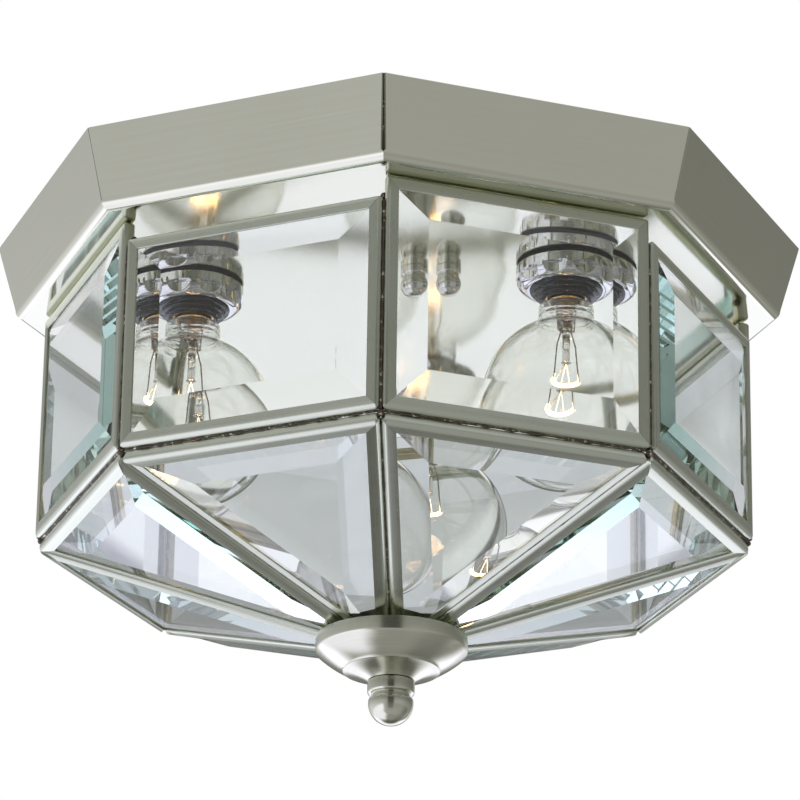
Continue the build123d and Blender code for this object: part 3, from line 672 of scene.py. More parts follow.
def clear_glass(name, tint, index, body_tint, body_density, ripple=0, ripple_size=0):
    """Clear glass, rippled if blown, with a tint through its body; lamplight passes through it."""
    finish, tree, shader = new_finish(name, {"Transmission Weight": 1.0, "Base Color": tint, "IOR": index})
    coordinates = add_node(tree, "ShaderNodeTexCoord").outputs
    if ripple:
        waves = noise_of(tree, coordinates["Object"], 1 / ripple_size, 1.0)
        set_relief(tree, shader, waves, ripple)
    feeds = {"Vector": coordinates["Object"], "Patch": GLASS_PATCH}
    marks = add_node(tree, "ShaderNodeGroup", feeds, node_tree=handling_marks).outputs["Marks"]
    tree.links.new(ranged(tree, marks, 0.0, GLASS_HAZE, 0.5, 1.0), shader.inputs["Roughness"])
    shadow = add_node(tree, "ShaderNodeLightPath").outputs["Is Shadow Ray"]
    clear = add_node(tree, "ShaderNodeBsdfTransparent", {"Color": tint}).outputs[0]
    mixed = add_node(tree, "ShaderNodeMixShader", {0: shadow, 1: shader.outputs[0], 2: clear})
    outlet = tree.nodes["Material Output"].inputs
    tree.links.new(mixed.outputs[0], outlet["Surface"])
    absorbed = add_node(tree, "ShaderNodeVolumeAbsorption", {"Color": body_tint, "Density": body_density})
    tree.links.new(absorbed.outputs[0], outlet["Volume"])
    return finish


lamp_glass = clear_glass(
    "blown_lamp_glass", (0.99, 0.99, 0.985, 1), index=1.5, body_tint=(0.72, 0.74, 0.30, 1),
    body_density=60.0, ripple=0.003 * MM, ripple_size=9 * MM)
stem_glass = clear_glass(
    "stem_glass", (0.97, 0.955, 0.94, 1), index=1.52, body_tint=(0.72, 0.62, 0.55, 1),
    body_density=40.0, ripple=0.01 * MM, ripple_size=2 * MM)


def lead_grain(tree, coordinates):
    """The fine mottle of drawn wire."""
    return noise_of(tree, coordinates["Object"], 1500.0, 2.0)


lead_nickel = worked_metal(
    "lead_nickel", (LEAD_DARK, LEAD_LIGHT), roughness=(0.2, 0.35), relief=0.001 * MM, grain=lead_grain,
    patch=3 * MM)

coil_glow, tree, shader = new_finish("glowing_coil", {"Emission Strength": 10.0, "Roughness": 0.5})
coordinates = add_node(tree, "ShaderNodeTexCoord").outputs
heat = noise_of(tree, coordinates["Object"], 260.0, 1.0)
tree.links.new(blended(tree, heat, GLOW_RED, GLOW_WHITE), shader.inputs["Emission Color"])
tree.links.new(blended(tree, heat, TUNGSTEN_DARK, TUNGSTEN_LIGHT), shader.inputs["Base Color"])

contact_black, tree, shader = new_finish("contact_glass_and_button", {"IOR": 1.5})
coordinates = add_node(tree, "ShaderNodeTexCoord").outputs
height_share = add_node(tree, "ShaderNodeSeparateXYZ", {0: coordinates["Generated"]}).outputs[2]
button = ranged(tree, height_share, 0.0, 1.0, *BUTTON_BAND)
speckle = noise_of(tree, coordinates["Object"], 1200.0, 3.0)
insulator = blended(tree, speckle, INSULATOR_DARK, INSULATOR_LIGHT)
tree.links.new(blended(tree, button, insulator, BUTTON_METAL), shader.inputs["Base Color"])
tree.links.new(button, shader.inputs["Metallic"])
tree.links.new(ranged(tree, speckle, 0.18, 0.42), shader.inputs["Roughness"])


def under_ball(radius, centre_z, start, steps):
    """(radius, height) points down a ball from a start angle to its lowest point."""
    turns = [start - (start + pi / 2) * step / steps for step in range(1, steps)]
    return [(radius * cos(turn), centre_z + radius * sin(turn)) for turn in turns] + [(0, centre_z - radius)]


def globe_outline(wall):
    """(radius, height) points from the spigot's end to the lowest point of the globe, drawn in by a wall."""
    globe, neck = GLOBE_RADIUS - wall, NECK_RADIUS - wall
    blend = NECK_BLEND + wall
    points = [(SPIGOT - wall, spigot_top), (SPIGOT - wall, neck_top)]
    blend_z = globe_z + sqrt((globe + blend) ** 2 - (neck + blend) ** 2)
    neck_z = neck_top - NECK_TAPER
    points += [(neck - NECK_EASE, neck_z + NECK_EASE), (neck, neck_z)]
    points += [(neck, neck_z + (blend_z - neck_z) * row / NECK_ROWS) for row in range(1, NECK_ROWS)]
    meet = atan2(blend_z - globe_z, neck + blend)
    for step in range(BLEND_STEPS + 1):
        angle = pi + meet * step / BLEND_STEPS
        points.append((neck + blend + blend * cos(angle), blend_z + blend * sin(angle)))
    return points + under_ball(globe, globe_z, meet, 48)


def rippled_neck(radius, height, angle):
    """The slight waves left where the neck was drawn down on to the stem."""
    neck_z = neck_top - NECK_TAPER
    neck_foot = globe_z + sqrt(GLOBE_RADIUS**2 - NECK_RADIUS**2)
    share = (neck_z - height) / (neck_z - neck_foot)
    if not 0 < share < 1 or radius < SPIGOT + GLASS_WALL:
        return radius, height
    wave = sin(2 * pi * height / NECK_RIPPLE_PITCH + 1.3 * sin(angle) + 0.8 * sin(3 * angle + 1))
    return radius + NECK_RIPPLE * wave * sin(pi * share), height


def drawn_wire(piece, points, radius, sides=10):
    """Adds a round wire along a line of points, closed at both ends."""
    rings = []
    across = (points[1] - points[0]).orthogonal()
    for index, point in enumerate(points):
        along = (points[min(index + 1, len(points) - 1)] - points[max(index - 1, 0)]).normalized()
        across = (across - along * across.dot(along)).normalized()
        upward = along.cross(across)
        turns = [2 * pi * side / sides for side in range(sides)]
        rings.append([piece.verts.new(point + (across * cos(t) + upward * sin(t)) * radius) for t in turns])
    join_rings(piece, rings)
    piece.faces.new(rings[0])
    piece.faces.new(rings[-1])


stem_foot = neck_top - STEM_LENGTH
lead_foot = stem_foot - LEAD_LENGTH
envelope = globe_outline(0) + globe_outline(GLASS_WALL)[::-1]
thread_foot = base_high.z - BASE_TURNS * BASE_PITCH
base_inside = BASE_RADIUS - BASE_SHEET
thread_rows = BASE_TURNS * BASE_TURN_ROWS
base_outline = [
    (base_inside, base_low.z), (BASE_RADIUS - 0.2 * MM, base_low.z), (BASE_RADIUS, base_low.z + 0.3 * MM)]
for row in range(thread_rows):
    base_outline.append((BASE_RADIUS, thread_foot + (base_high.z - thread_foot) * row / thread_rows))
lining = BASE_RADIUS - BASE_THREAD_DEPTH - BASE_SHEET
base_outline += [
    (BASE_RADIUS - BASE_THREAD_DEPTH, base_high.z), (lining, base_high.z), (lining, thread_foot),
    (base_inside, thread_foot - BASE_THREAD_DEPTH)]
thread_ends = (thread_foot - BASE_PITCH / 2, base_high.z + BASE_PITCH)
base_cut = thread_cut(BASE_RADIUS, BASE_THREAD_DEPTH, BASE_PITCH, *thread_ends)
cone_top = contact_low.z + (contact_high.z - contact_low.z) * 0.65
contact_outline = eased([
    (0, contact_low.z, 0), (BASE_RADIUS - BASE_THREAD_DEPTH, contact_low.z, 0.1 * MM),
    (BUTTON_RADIUS, cone_top, 0.2 * MM), (BUTTON_RADIUS, contact_high.z, 0.35 * MM), (0, contact_high.z, 0)])
hollow_foot = neck_top - STEM_LENGTH * 0.45
hollow = STEM_RADIUS - STEM_WALL
stem_outline = [(0, hollow_foot), (hollow * 0.8, hollow_foot + 0.3 * MM), (hollow, hollow_foot + 1 * MM)]
flare_inside = STEM_FLARE - STEM_WALL
stem_outline += [(flare_inside, neck_top), (flare_inside, spigot_top), (STEM_FLARE, spigot_top)]
stem_outline += [(STEM_FLARE, neck_top)]
for row in range(STEM_ROWS + 1):
    share = row / STEM_ROWS
    tube = STEM_FLARE + (STEM_RADIUS - STEM_FLARE) * min(1, share * 2.5)
    stem_outline.append((tube, neck_top - share * STEM_LENGTH))
stem_outline += [(POST_RADIUS * 1.6, stem_foot - 0.5 * MM), (POST_RADIUS, stem_foot - 1.2 * MM)]
post_foot = stem_foot - POST_LENGTH
post_bead = POST_RADIUS * 1.35
stem_outline += [(POST_RADIUS, post_foot + 0.8 * MM), (post_bead, post_foot + 0.5 * MM), (0, post_foot)]


def pinched(radius, height, angle):
    """Flattens the lower half of the stem, where it was pinched over the leads while soft."""
    share = min(1, max(0, (neck_top - height) / STEM_LENGTH * 2 - 0.9))
    if radius < STEM_RADIUS * 0.9 or not stem_foot <= height < hollow_foot:
        return radius, height
    flat = 1 / hypot(cos(angle) / PINCH_WIDTH, sin(angle) / PINCH_THICKNESS)
    return radius + (flat - radius) * share, height


for lamp, (x, y) in enumerate(lamp_places, start=1):
    spot = (x, y, 0)
    body = f"lamp_{lamp}"
    globe = turned_form(envelope, 128, rippled_neck)
    nodes = [f"bulb_glass_{lamp}"]
    finished_piece(f"lamp_globe_{lamp}", globe, lamp_glass, body, nodes, crease=60, place=spot)
    base = turned_form(base_outline, 64, base_cut)
    nodes = [f"bulb_base_{lamp}"]
    finished_piece(f"lamp_base_{lamp}", base, rolled_brass, body, nodes, place=spot)
    contact = turned_form(contact_outline, 48)
    nodes = [f"bulb_contact_{lamp}"]
    finished_piece(
        f"lamp_contact_{lamp}", contact, contact_black, f"lamp_{lamp}_seat", nodes,
        place=spot)
    mount = [f"bulb_filament_{lamp}"]
    stem = turned_form(stem_outline, 48, pinched)
    finished_piece(f"lamp_stem_{lamp}", stem, stem_glass, body, mount, crease=60, place=spot)
    leads = bmesh.new()
    for side in (-1, 1):
        hook = Vector((side * LEAD_SPREAD, 0, lead_foot))
        press = Vector((side * STEM_RADIUS / 2, 0, stem_foot))
        knee = Vector((side * LEAD_KNEE, 0, stem_foot - LEAD_LENGTH * 0.3))
        lead = [press + UP * 2 * MM, press, press.lerp(knee, 0.1), press.lerp(knee, 0.9), knee]
        lead += [knee.lerp(hook, share) for share in (0.1, 0.4, 0.7, 0.95)]
        lead += [hook + Vector((side * 0.3, 0, -0.3)) * MM, hook + Vector((side * 0.1, 0.4, -0.5)) * MM]
        drawn_wire(leads, lead, LEAD_RADIUS)
    for swing in (pi * 0.3, pi * 0.5, pi * 0.7):
        bead = Vector((0, 0, post_foot + 0.4 * MM))
        eye = Vector((-LEAD_SPREAD * cos(swing), LEAD_SPREAD * sin(swing), lead_foot + COIL_RADIUS))
        support = [bead, bead.lerp(eye, 0.5) + UP * 0.5 * MM, eye, eye - UP * 2 * COIL_RADIUS]
        drawn_wire(leads, support, SUPPORT_RADIUS, 6)
    finished_piece(
        f"lamp_leads_{lamp}", leads, lead_nickel, body, mount, crease=50, place=spot)
    coil_line = []
    for step in range(COIL_STEPS + 1):
        share = step / COIL_STEPS
        swing = pi * share
        core = Vector((-LEAD_SPREAD * cos(swing), LEAD_SPREAD * sin(swing), lead_foot))
        spoke = Vector((-cos(swing), sin(swing), 0)) * cos(2 * pi * COIL_TURNS * share)
        coil_line.append(core + (spoke + UP * sin(2 * pi * COIL_TURNS * share)) * COIL_RADIUS)
    coil = bmesh.new()
    drawn_wire(coil, coil_line, COIL_WIRE, 6)
    finished_piece(f"lamp_coil_{lamp}", coil, coil_glow, body, mount, crease=50, place=spot)

# Centre rod and nuts
# A threaded steel rod hangs from the plate, clamped by a hex nut on each side, and takes the finial at its
# foot. The two turned nickel ball nuts screw up the studs and hold the pan.
rod_low, rod_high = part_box("center_rod")
ROD_RADIUS = 3.175 * MM
ROD_PITCH = 1.27 * MM
ROD_THREAD_DEPTH = 0.45 * MM
ROD_NUT_FLAT = 5.55 * MM
ROD_NUT_HEIGHT = 5.5 * MM
NUT_CHAMFER = radians(30)
BALL_WAIST = 3.335 * MM
BALL_COLLAR = 3.935 * MM
BALL_COLLAR_HEIGHT = 2.6 * MM
BALL_WAIST_HEIGHT = 1.0 * MM
BALL_RADIUS = 3.985 * MM
SPUN_DARK = (0.62, 0.625, 0.515, 1)
SPUN_LIGHT = (0.70, 0.705, 0.585, 1)
BALL_DARK = (0.64, 0.63, 0.57, 1)
BALL_LIGHT = (0.74, 0.73, 0.66, 1)
NUT_FIT = 0.05 * MM
spun_nickel = worked_metal(
    "spun_nickel", (SPUN_DARK, SPUN_LIGHT), roughness=(0.14, 0.21), relief=0.0004 * MM,
    grain=turned(0.2 * MM), patch=14 * MM, anisotropic=0.45, tangent=round_grain)
ball_nickel = worked_metal(
    "ball_nickel", (BALL_DARK, BALL_LIGHT), roughness=(0.04, 0.08), relief=0.0002 * MM,
    grain=turned(0.2 * MM), patch=6 * MM)

rod_cut = thread_cut(ROD_RADIUS, ROD_THREAD_DEPTH, ROD_PITCH, rod_low.z - ROD_PITCH, rod_high.z + ROD_PITCH)
rod = turned_form(threaded_outline(ROD_RADIUS, rod_low.z, rod_high.z, ROD_PITCH, 0.4 * MM), 32, rod_cut)
finished_piece("threaded_rod", rod, zinc_plate, "pan", ["center_rod"])


def hexagonal(foot, top):
    """Hex flats with turned chamfers at both ends, as a shape for a turned form."""

    def shape(radius, height, angle):
        if radius < ROD_NUT_FLAT:
            return radius, height
        flat = ROD_NUT_FLAT / cos((angle + pi / 6) % (pi / 3) - pi / 6)
        end = min(height - foot, top - height)
        return min(flat, ROD_NUT_FLAT * 0.97 + end / tan(NUT_CHAMFER)), height

    return shape


for name, foot in (("rod_nut_upper", plate_top), ("rod_nut_lower", -pan_depth - ROD_NUT_HEIGHT)):
    top = foot + ROD_NUT_HEIGHT
    bore = ROD_RADIUS + NUT_FIT
    levels = [foot + share * ROD_NUT_HEIGHT for share in (0, 0.03, 0.06, 0.1, 0.5, 0.9, 0.94, 0.97, 1)]
    outline = [(bore, foot)] + [(ROD_NUT_FLAT, level) for level in levels] + [(bore, top)]
    nut = turned_form(outline, 144, hexagonal(foot, top))
    finished_piece(name, nut, zinc_plate, "pan", ["rod_nuts"], crease=22)

ball_top = -pan_depth
collar_foot = ball_top - BALL_COLLAR_HEIGHT
ball_waist_foot = collar_foot - BALL_WAIST_HEIGHT
ball_z = ball_waist_foot - sqrt(BALL_RADIUS**2 - BALL_WAIST**2)
stud_bore = STUD_RADIUS + NUT_FIT
bore_foot = stud_low.z - 1 * MM
ball_outline = [(0, bore_foot)] + eased([
    (stud_bore, bore_foot, 0), (stud_bore, ball_top, 0), (BALL_COLLAR, ball_top, 0.2 * MM),
    (BALL_COLLAR, collar_foot, 0.5 * MM), (BALL_WAIST, collar_foot, 0.15 * MM),
    (BALL_WAIST, ball_waist_foot, 0)])
ball_outline += under_ball(BALL_RADIUS, ball_z, atan2(ball_waist_foot - ball_z, BALL_WAIST), 24)
for count, side in enumerate((-1, 1), start=1):
    ball = turned_form(ball_outline, 64)
    place = (0, side * STUD_REACH, 0)
    finished_piece(f"ball_nut_{count}", ball, ball_nickel, "pan", ["ball_nuts"], place=place)

# Cage walls
# Each pane of bevelled plate glass sits in a U channel of brushed nickel, notched and folded round it with
# mitred corners. Every other wall is shorter and leaves a vent under the pan.
wall_low, wall_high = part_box("tall_frame_1")
SEAM_GAP = 0.08 * MM
CHANNEL_LEG = 4.7 * MM
CHANNEL_BACK = 2.3 * MM
CHANNEL_FACE = 4.3 * MM
CHANNEL_DEPTH = wall_high.y - wall_low.y
CHANNEL_WALL = 0.6 * MM
CHANNEL_EDGE = 1.0 * MM
CHANNEL_ROLL = 1.8 * MM
CHANNEL_LIP = 0.16 * MM
CORNER_ROUND = 1.3 * MM
ROUND_STEPS = 5
MITRE_GAP = 0.16 * MM
TIGHTEST_MITRE = 0.15
STILE_FLARE = 1.3 * MM
VENT_FLARE = 1.0 * MM
FOOT_RAISE = 0.8 * MM
PANE_EDGE = 1.38 * MM
PANE_BACK = 0.8 * MM
PANE_LIP = 3.4 * MM
BEVEL_COVER = 0.35 * MM
BEVEL_WIDTH = 9.6 * MM
BEVEL_RISE = 2.3 * MM
CHANNEL_DARK = (0.585, 0.615, 0.505, 1)
CHANNEL_LIGHT = (0.645, 0.675, 0.56, 1)
inside = -wall_high.y
cage_foot = wall_low.z - SEAM_GAP
wall_width = 2 * inside * tan(STEP / 2)
heights = {"tall": wall_high.z + SEAM_GAP - cage_foot}
heights["short"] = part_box("short_frame_1")[1].z + SEAM_GAP - cage_foot
chance = random.Random(7)
channel_nickel = worked_metal(
    "channel_nickel", (CHANNEL_DARK, CHANNEL_LIGHT), roughness=(0.26, 0.30), relief=0.0001 * MM,
    grain=brushed(30 * MM, 0.2 * MM), patch=18 * MM, anisotropic=0.8, tangent=along_grain)
plate_glass = clear_glass(
    "bevelled_plate_glass", (0.99, 0.99, 0.99, 1), index=1.52, body_tint=(0.22, 0.71, 0.57, 1),
    body_density=7.5)


def plane_seat(origin, upward, bearing):
    """The matrix that sets a flat piece, drawn with X level and Y up, in its place round the cage."""
    right = Vector((1, 0, 0))
    seat = Matrix((right, upward, right.cross(upward))).transposed().to_4x4()
    seat.translation = origin
    return Matrix.Rotation(bearing, 4, "Z") @ seat


channel_section = eased([
    (CHANNEL_BACK, 0, CHANNEL_LIP), (0, 0, CHANNEL_EDGE), (0, CHANNEL_DEPTH, CHANNEL_ROLL),
    (CHANNEL_FACE, CHANNEL_DEPTH, CHANNEL_LIP), (CHANNEL_FACE, CHANNEL_DEPTH - CHANNEL_WALL, CHANNEL_LIP),
    (CHANNEL_WALL, CHANNEL_DEPTH - CHANNEL_WALL, CHANNEL_ROLL - CHANNEL_WALL),
    (CHANNEL_WALL, CHANNEL_WALL, CHANNEL_EDGE - CHANNEL_WALL), (CHANNEL_BACK, CHANNEL_WALL, CHANNEL_LIP)], 6)


def shifted(shift, height):
    """How far a bar lies in from the outline at a height, from its shifts at the back and at the face."""
    back, face = shift[:2]
    return back + (face - back) * height / CHANNEL_DEPTH


def bar_end(angle, shift, next_shift, gap):
    """Rings of (travel, inset, height) points round one rounded, mitred corner of a bar."""
    rings = []
    rake = shift[2]
    for step in range(ROUND_STEPS + 1):
        swing = (pi - angle) / 2 * (1 - step / ROUND_STEPS)
        reach = CORNER_ROUND / tan(angle / 2) - CORNER_ROUND * sin(swing)
        cut = CORNER_ROUND * (1 - cos(swing))
        ring = []
        for depth, height in channel_section:
            own, other = shifted(shift, height), shifted(next_shift, height)
            trim = depth + cut * max(0, 1 - depth / CHANNEL_FACE * 1.5)
            mitre = (trim + own) / tan(angle) + (trim + other) / sin(angle)
            corner = own / tan(angle) + other / sin(angle)
            drop = rake * max(0, 1 - depth / CHANNEL_FACE) * height / CHANNEL_DEPTH * step / ROUND_STEPS
            ring.append((max(corner + reach, mitre) + gap, trim + own, height - drop))
        rings.append(ring)
    return rings


def channel_bar(piece, seat, corners, shifts, index):
    """One mitred bar of channel from corner to corner, with its grain along it."""
    before, start, end, after = [corners[(index + step) % 4] for step in (-1, 0, 1, 2)]
    run = end - start
    along = run.normalized()
    inward = Vector((-along.y, along.x))
    turn = seat.to_3x3()
    grain = turn @ along.to_3d()
    across = turn @ (inward.to_3d() + UP)
    gaps = [chance.uniform(TIGHTEST_MITRE, 1) * MITRE_GAP / 2 for _ in range(2)]
    near = bar_end((before - start).angle(run), shifts[index], shifts[index - 1], gaps[0])
    far = bar_end((after - end).angle(-run), shifts[index], shifts[(index + 1) % 4], gaps[1])
    far = [[(run.length - travel, inset, height) for travel, inset, height in ring] for ring in far]
    rows = []
    for ring in near + far[::-1]:
        places = [(start + along * travel + inward * inset, height) for travel, inset, height in ring]
        rows.append([seat @ Vector((place.x, place.y, height)) for place, height in places])
    for ring, following in zip(rows, rows[1:]):
        for point in range(len(ring)):
            turned_point = (point + 1) % len(ring)
            quad = [ring[point], ring[turned_point], following[turned_point], following[point]]
            add_face(piece, quad, grain, across)
    add_face(piece, rows[0], grain, across)
    add_face(piece, rows[-1], grain, across)


def glazed_frame(kind, count, seat, outline, shifts):
    """Four mitred bars of channel and the bevelled pane that they hold."""
    corners = [Vector(corner) for corner in outline([SEAM_GAP] * 4)]
    piece = bmesh.new()
    for index in range(4):
        channel_bar(piece, seat, corners, shifts, index)
    nodes = [f"{kind}_frame_{count}"]
    name = f"{kind}_channel_{count}"
    finished_piece(name, piece, channel_nickel, "cage", nodes, crease=28)
    pane = bmesh.new()
    edge = outline([PANE_EDGE + shifted(shift, CHANNEL_DEPTH / 2) for shift in shifts])
    crown = PANE_LIP + BEVEL_RISE
    levels = [[pane.verts.new((x, y, height)) for x, y in edge] for height in (PANE_BACK, crown)]
    pane.faces.new(levels[0][::-1])
    pane.faces.new(levels[1])
    for index in range(4):
        follow = (index + 1) % 4
        pane.faces.new((levels[0][index], levels[0][follow], levels[1][follow], levels[1][index]))
    covered = [CHANNEL_FACE - BEVEL_COVER + shifted(shift, CHANNEL_DEPTH) for shift in shifts]
    bevel_line = [Vector((x, y, PANE_LIP)) for x, y in outline(covered)]
    for index in range(4):
        along = (Vector((*edge[(index + 1) % 4], 0)) - Vector((*edge[index], 0))).normalized()
        outward = along.cross(UP)
        slope_normal = (outward * BEVEL_RISE + UP * BEVEL_WIDTH).normalized()
        geometry = pane.verts[:] + pane.edges[:] + pane.faces[:]
        cut = bmesh.ops.bisect_plane(
            pane, geom=geometry, plane_co=bevel_line[index], plane_no=slope_normal, clear_outer=True)
        rim = [part for part in cut["geom_cut"] if isinstance(part, bmesh.types.BMEdge)]
        bmesh.ops.contextual_create(pane, geom=rim)
    pane.transform(seat)
    nodes = [f"{kind}_pane_{count}"]
    finished_piece(f"{kind}_glass_{count}", pane, plate_glass, "cage", nodes, crease=1)


def wall_outline(height):
    """The outline of a wall, with each edge drawn in by its inset."""

    def outline(insets):
        bottom, right, top, left = insets
        right_x, left_x = wall_width / 2 - right, left - wall_width / 2
        return [(left_x, bottom), (right_x, bottom), (right_x, height - top), (left_x, height - top)]

    return outline


foot_shift, stile_shift = (FOOT_RAISE, FOOT_RAISE, 0), (0, -STILE_FLARE, 0)
top_shifts = {"tall": (0, 0, 0), "short": (0, -VENT_FLARE, 0)}
for first, (kind, height) in enumerate(heights.items()):
    for count in range(1, 5):
        seat = plane_seat((0, -inside, cage_foot), UP, (first + 2 * (count - 1)) * STEP)
        shifts = (foot_shift, stile_shift, top_shifts[kind], stile_shift)
        glazed_frame(kind, count, seat, wall_outline(height), shifts)

# Sloped bottom
# Eight long triangular bevelled panes in the same channel close the cage below, sloping down to the rod.
# Their ribs meet in pairs and are soldered to each other and to the foot of the walls.
SLOPE = radians(18.7)
WINDOW_TIP = 1.6 * MM
RIB_FLARE = 0.38 * MM
RIB_RAKE = 1.1 * MM
RIM_SHIFT = 2.1 * MM
TIP_SHIFT = 1.8 * MM
apex_z = cage_foot - inside * tan(SLOPE)
rim_distance = inside / cos(SLOPE)
spread = tan(STEP / 2) * cos(SLOPE)
spread_cos = 1 / sqrt(1 + spread**2)
window_inset = SEAM_GAP + CHANNEL_LEG
tip_distance = (window_inset / spread_cos + WINDOW_TIP / 2) / spread - window_inset


def slope_outline(insets):
    """The outline of a bottom frame, with each edge drawn in by its inset."""
    tip, right, rim, left = insets
    corners = []
    for distance, side, inset in (
            (tip_distance + tip, -1, left), (tip_distance + tip, 1, right),
            (rim_distance - rim, 1, right), (rim_distance - rim, -1, left)):
        corners.append((side * (distance * spread - inset / spread_cos), distance))
    return corners


rim_shift, tip_shift = (-RIM_SHIFT, -RIM_SHIFT, 0), (-TIP_SHIFT, -TIP_SHIFT, 0)
rib_shift = (0, -RIB_FLARE, RIB_RAKE)
for side in range(SIDES):
    seat = plane_seat((0, 0, apex_z), Vector((0, -cos(SLOPE), sin(SLOPE))), side * STEP)
    glazed_frame("bottom", side + 1, seat, slope_outline, (tip_shift, rib_shift, rim_shift, rib_shift))

# Solder
# Tin solder was run by hand into the grooves between the channels: up the corners, along the foot of the
# walls, down the ribs and up inside the pan's corners. It is lumpy, dark with old flux, and bright where the
# iron touched it last.
SOLDER_ROOT = 0.1 * MM
POST_SOLDER = 3.0 * MM
FOOT_SOLDER = 0.5 * MM
RIB_SOLDER = 2.3 * MM
SOLDER_END = 1.0 * MM
SOLDER_STEP = 0.5 * MM
BEAD_SECTION = ((-1, 0), (1, 0), (1, 1), (0.5, 1.25), (0, 1.35), (-0.5, 1.25), (-1, 1))
SOLDER_LUMP = 0.25 * MM
RUN_WAVES = 310
RUN_RIPPLES = 900
LUMP_WAVES = 500
LUMP_RIPPLES = 1500
SOLDER_RELIEF = 0.12 * MM
CORNER_LUMP = 1.1 * MM
POST_LUMP = 1.3 * MM
PAN_SOLDER = 1.3 * MM
SEAM_SLACK = 0.02
HUB_HALF = 20 * MM
FLUX_DARK = (0.022, 0.017, 0.011, 1)
FLUX_BROWN = (0.075, 0.052, 0.026, 1)
TIN = (0.72, 0.67, 0.55, 1)

solder_tin, tree, shader = new_finish("solder_and_flux", {})
coordinates = add_node(tree, "ShaderNodeTexCoord").outputs
crust = noise_of(tree, coordinates["Object"], 900.0, 4.0)
touched = ranged(tree, noise_of(tree, coordinates["Object"], 760.0, 3.0), 0.0, 1.0, 0.61, 0.65)
flux = blended(tree, crust, FLUX_DARK, FLUX_BROWN)
tree.links.new(blended(tree, touched, flux, TIN), shader.inputs["Base Color"])
tree.links.new(touched, shader.inputs["Metallic"])
tree.links.new(ranged(tree, crust, 0.22, 0.6), shader.inputs["Roughness"])
set_relief(tree, shader, crust, SOLDER_RELIEF)


def solder_run(piece, start, along, outward, half_angle, fill, length):
    """Adds a lumpy bead in a groove whose walls open by twice the half angle."""
    across = outward.cross(along)
    steps = int(length / SOLDER_STEP)
    rings = []
    for step in range(steps + 1):
        base = start + along * length * step / steps
        lump = noise.noise(base * RUN_WAVES) * SOLDER_LUMP
        lump += noise.noise(base * RUN_RIPPLES) * SOLDER_LUMP * 0.5
        ring = []
        for share, level in BEAD_SECTION:
            depth = SOLDER_ROOT + (fill - SOLDER_ROOT + lump) * min(level, 1)
            half = depth * sin(half_angle) + SEAM_GAP * cos(half_angle)
            crown = max(0, level - 1) * (2 * half + lump)
            height = depth * cos(half_angle) - SEAM_GAP * sin(half_angle) + crown
            ring.append(piece.verts.new(base + across * half * share + outward * height))
        rings.append(ring)
    join_rings(piece, rings)
    piece.faces.new(rings[0])
    piece.faces.new(rings[-1])


def solder_lump(piece, centre, radius):
    """Adds a lump left where several joints meet."""
    lump = bmesh.ops.create_icosphere(piece, subdivisions=3, radius=radius, matrix=Matrix.Translation(centre))
    for point in lump["verts"]:
        spoke = point.co - centre
        rough = 0.3 * noise.noise(point.co * LUMP_WAVES) + 0.12 * noise.noise(point.co * LUMP_RIPPLES)
        point.co = centre + spoke * (1 + rough)


solder = bmesh.new()
corner = inside / cos(STEP / 2)
foot_groove = (pi / 2 - SLOPE) / 2
foot_root = Vector((0, -inside - RIM_SHIFT * cos(SLOPE), cage_foot + RIM_SHIFT * sin(SLOPE)))
post_groove = STEP / 2 - atan2(STILE_FLARE, CHANNEL_DEPTH)
rib_drop = tan(SLOPE) * cos(STEP / 2)
rib_length = (corner - HUB_HALF) * sqrt(1 + rib_drop**2) - 2 * SOLDER_END
rib_angle = atan2(sin(SLOPE) * sin(STEP / 2), sqrt(1 - (sin(SLOPE) * sin(STEP / 2)) ** 2))
for side in range(SIDES):
    to_side = Matrix.Rotation(side * STEP, 3, "Z")
    to_corner = Matrix.Rotation((side + 0.5) * STEP, 3, "Z")
    foot_length = wall_width + 2 * (RIM_SHIFT * tan(STEP / 2) - SOLDER_END)
    solder_run(
        solder, to_side @ (foot_root - Vector((foot_length / 2, 0, 0))), to_side @ Vector((1, 0, 0)),
        to_side @ Vector((0, -cos(foot_groove), -sin(foot_groove))), foot_groove, FOOT_SOLDER, foot_length)
    solder_run(
        solder, to_corner @ Vector((0, -corner, cage_foot + SOLDER_END)), UP, to_corner @ Vector((0, -1, 0)),
        post_groove, POST_SOLDER, heights["short"] - 2 * SOLDER_END)
    down = Vector((0, 1, -rib_drop)).normalized()
    under = Vector((0, -rib_drop, -1)).normalized()
    solder_run(
        solder, to_corner @ (Vector((0, -corner, cage_foot)) + down * SOLDER_END), to_corner @ down,
        to_corner @ under, rib_angle - atan2(RIB_FLARE, CHANNEL_DEPTH), RIB_SOLDER, rib_length)
    post_top = heights["short"] + POST_LUMP
    solder_lump(solder, to_corner @ Vector((0, -corner - RIM_SHIFT, cage_foot + 0.1 * MM)), CORNER_LUMP)
    solder_lump(solder, to_corner @ Vector((0, -corner - 0.3 * MM, cage_foot + post_top)), POST_LUMP)
finished_piece("solder_beads", solder, solder_tin, "cage", ["solder_joints"], crease=50)

pan_solder = bmesh.new()
seam_ends = []
for apothem, height in (inner_path[OPEN_ROWS], inner_path[0]):
    seam_ends.append(Vector((0, -apothem / cos(STEP / 2), height)))
seam_foot, seam_top = seam_ends
seam_length = (seam_top - seam_foot).length
seam_way = (seam_top - seam_foot).normalized()
seam_inward = (Vector((0, 1, 0)) - seam_way * seam_way.y).normalized()
seam_groove = (pi - STEP) / 2 - SEAM_SLACK
for side in range(SIDES):
    to_corner = Matrix.Rotation((side + 0.5) * STEP, 3, "Z")
    solder_run(
        pan_solder, to_corner @ seam_foot, to_corner @ seam_way, to_corner @ seam_inward, seam_groove,
        PAN_SOLDER, seam_length)
finished_piece("pan_solder", pan_solder, solder_tin, "pan", ["ceiling_pan"], crease=50)

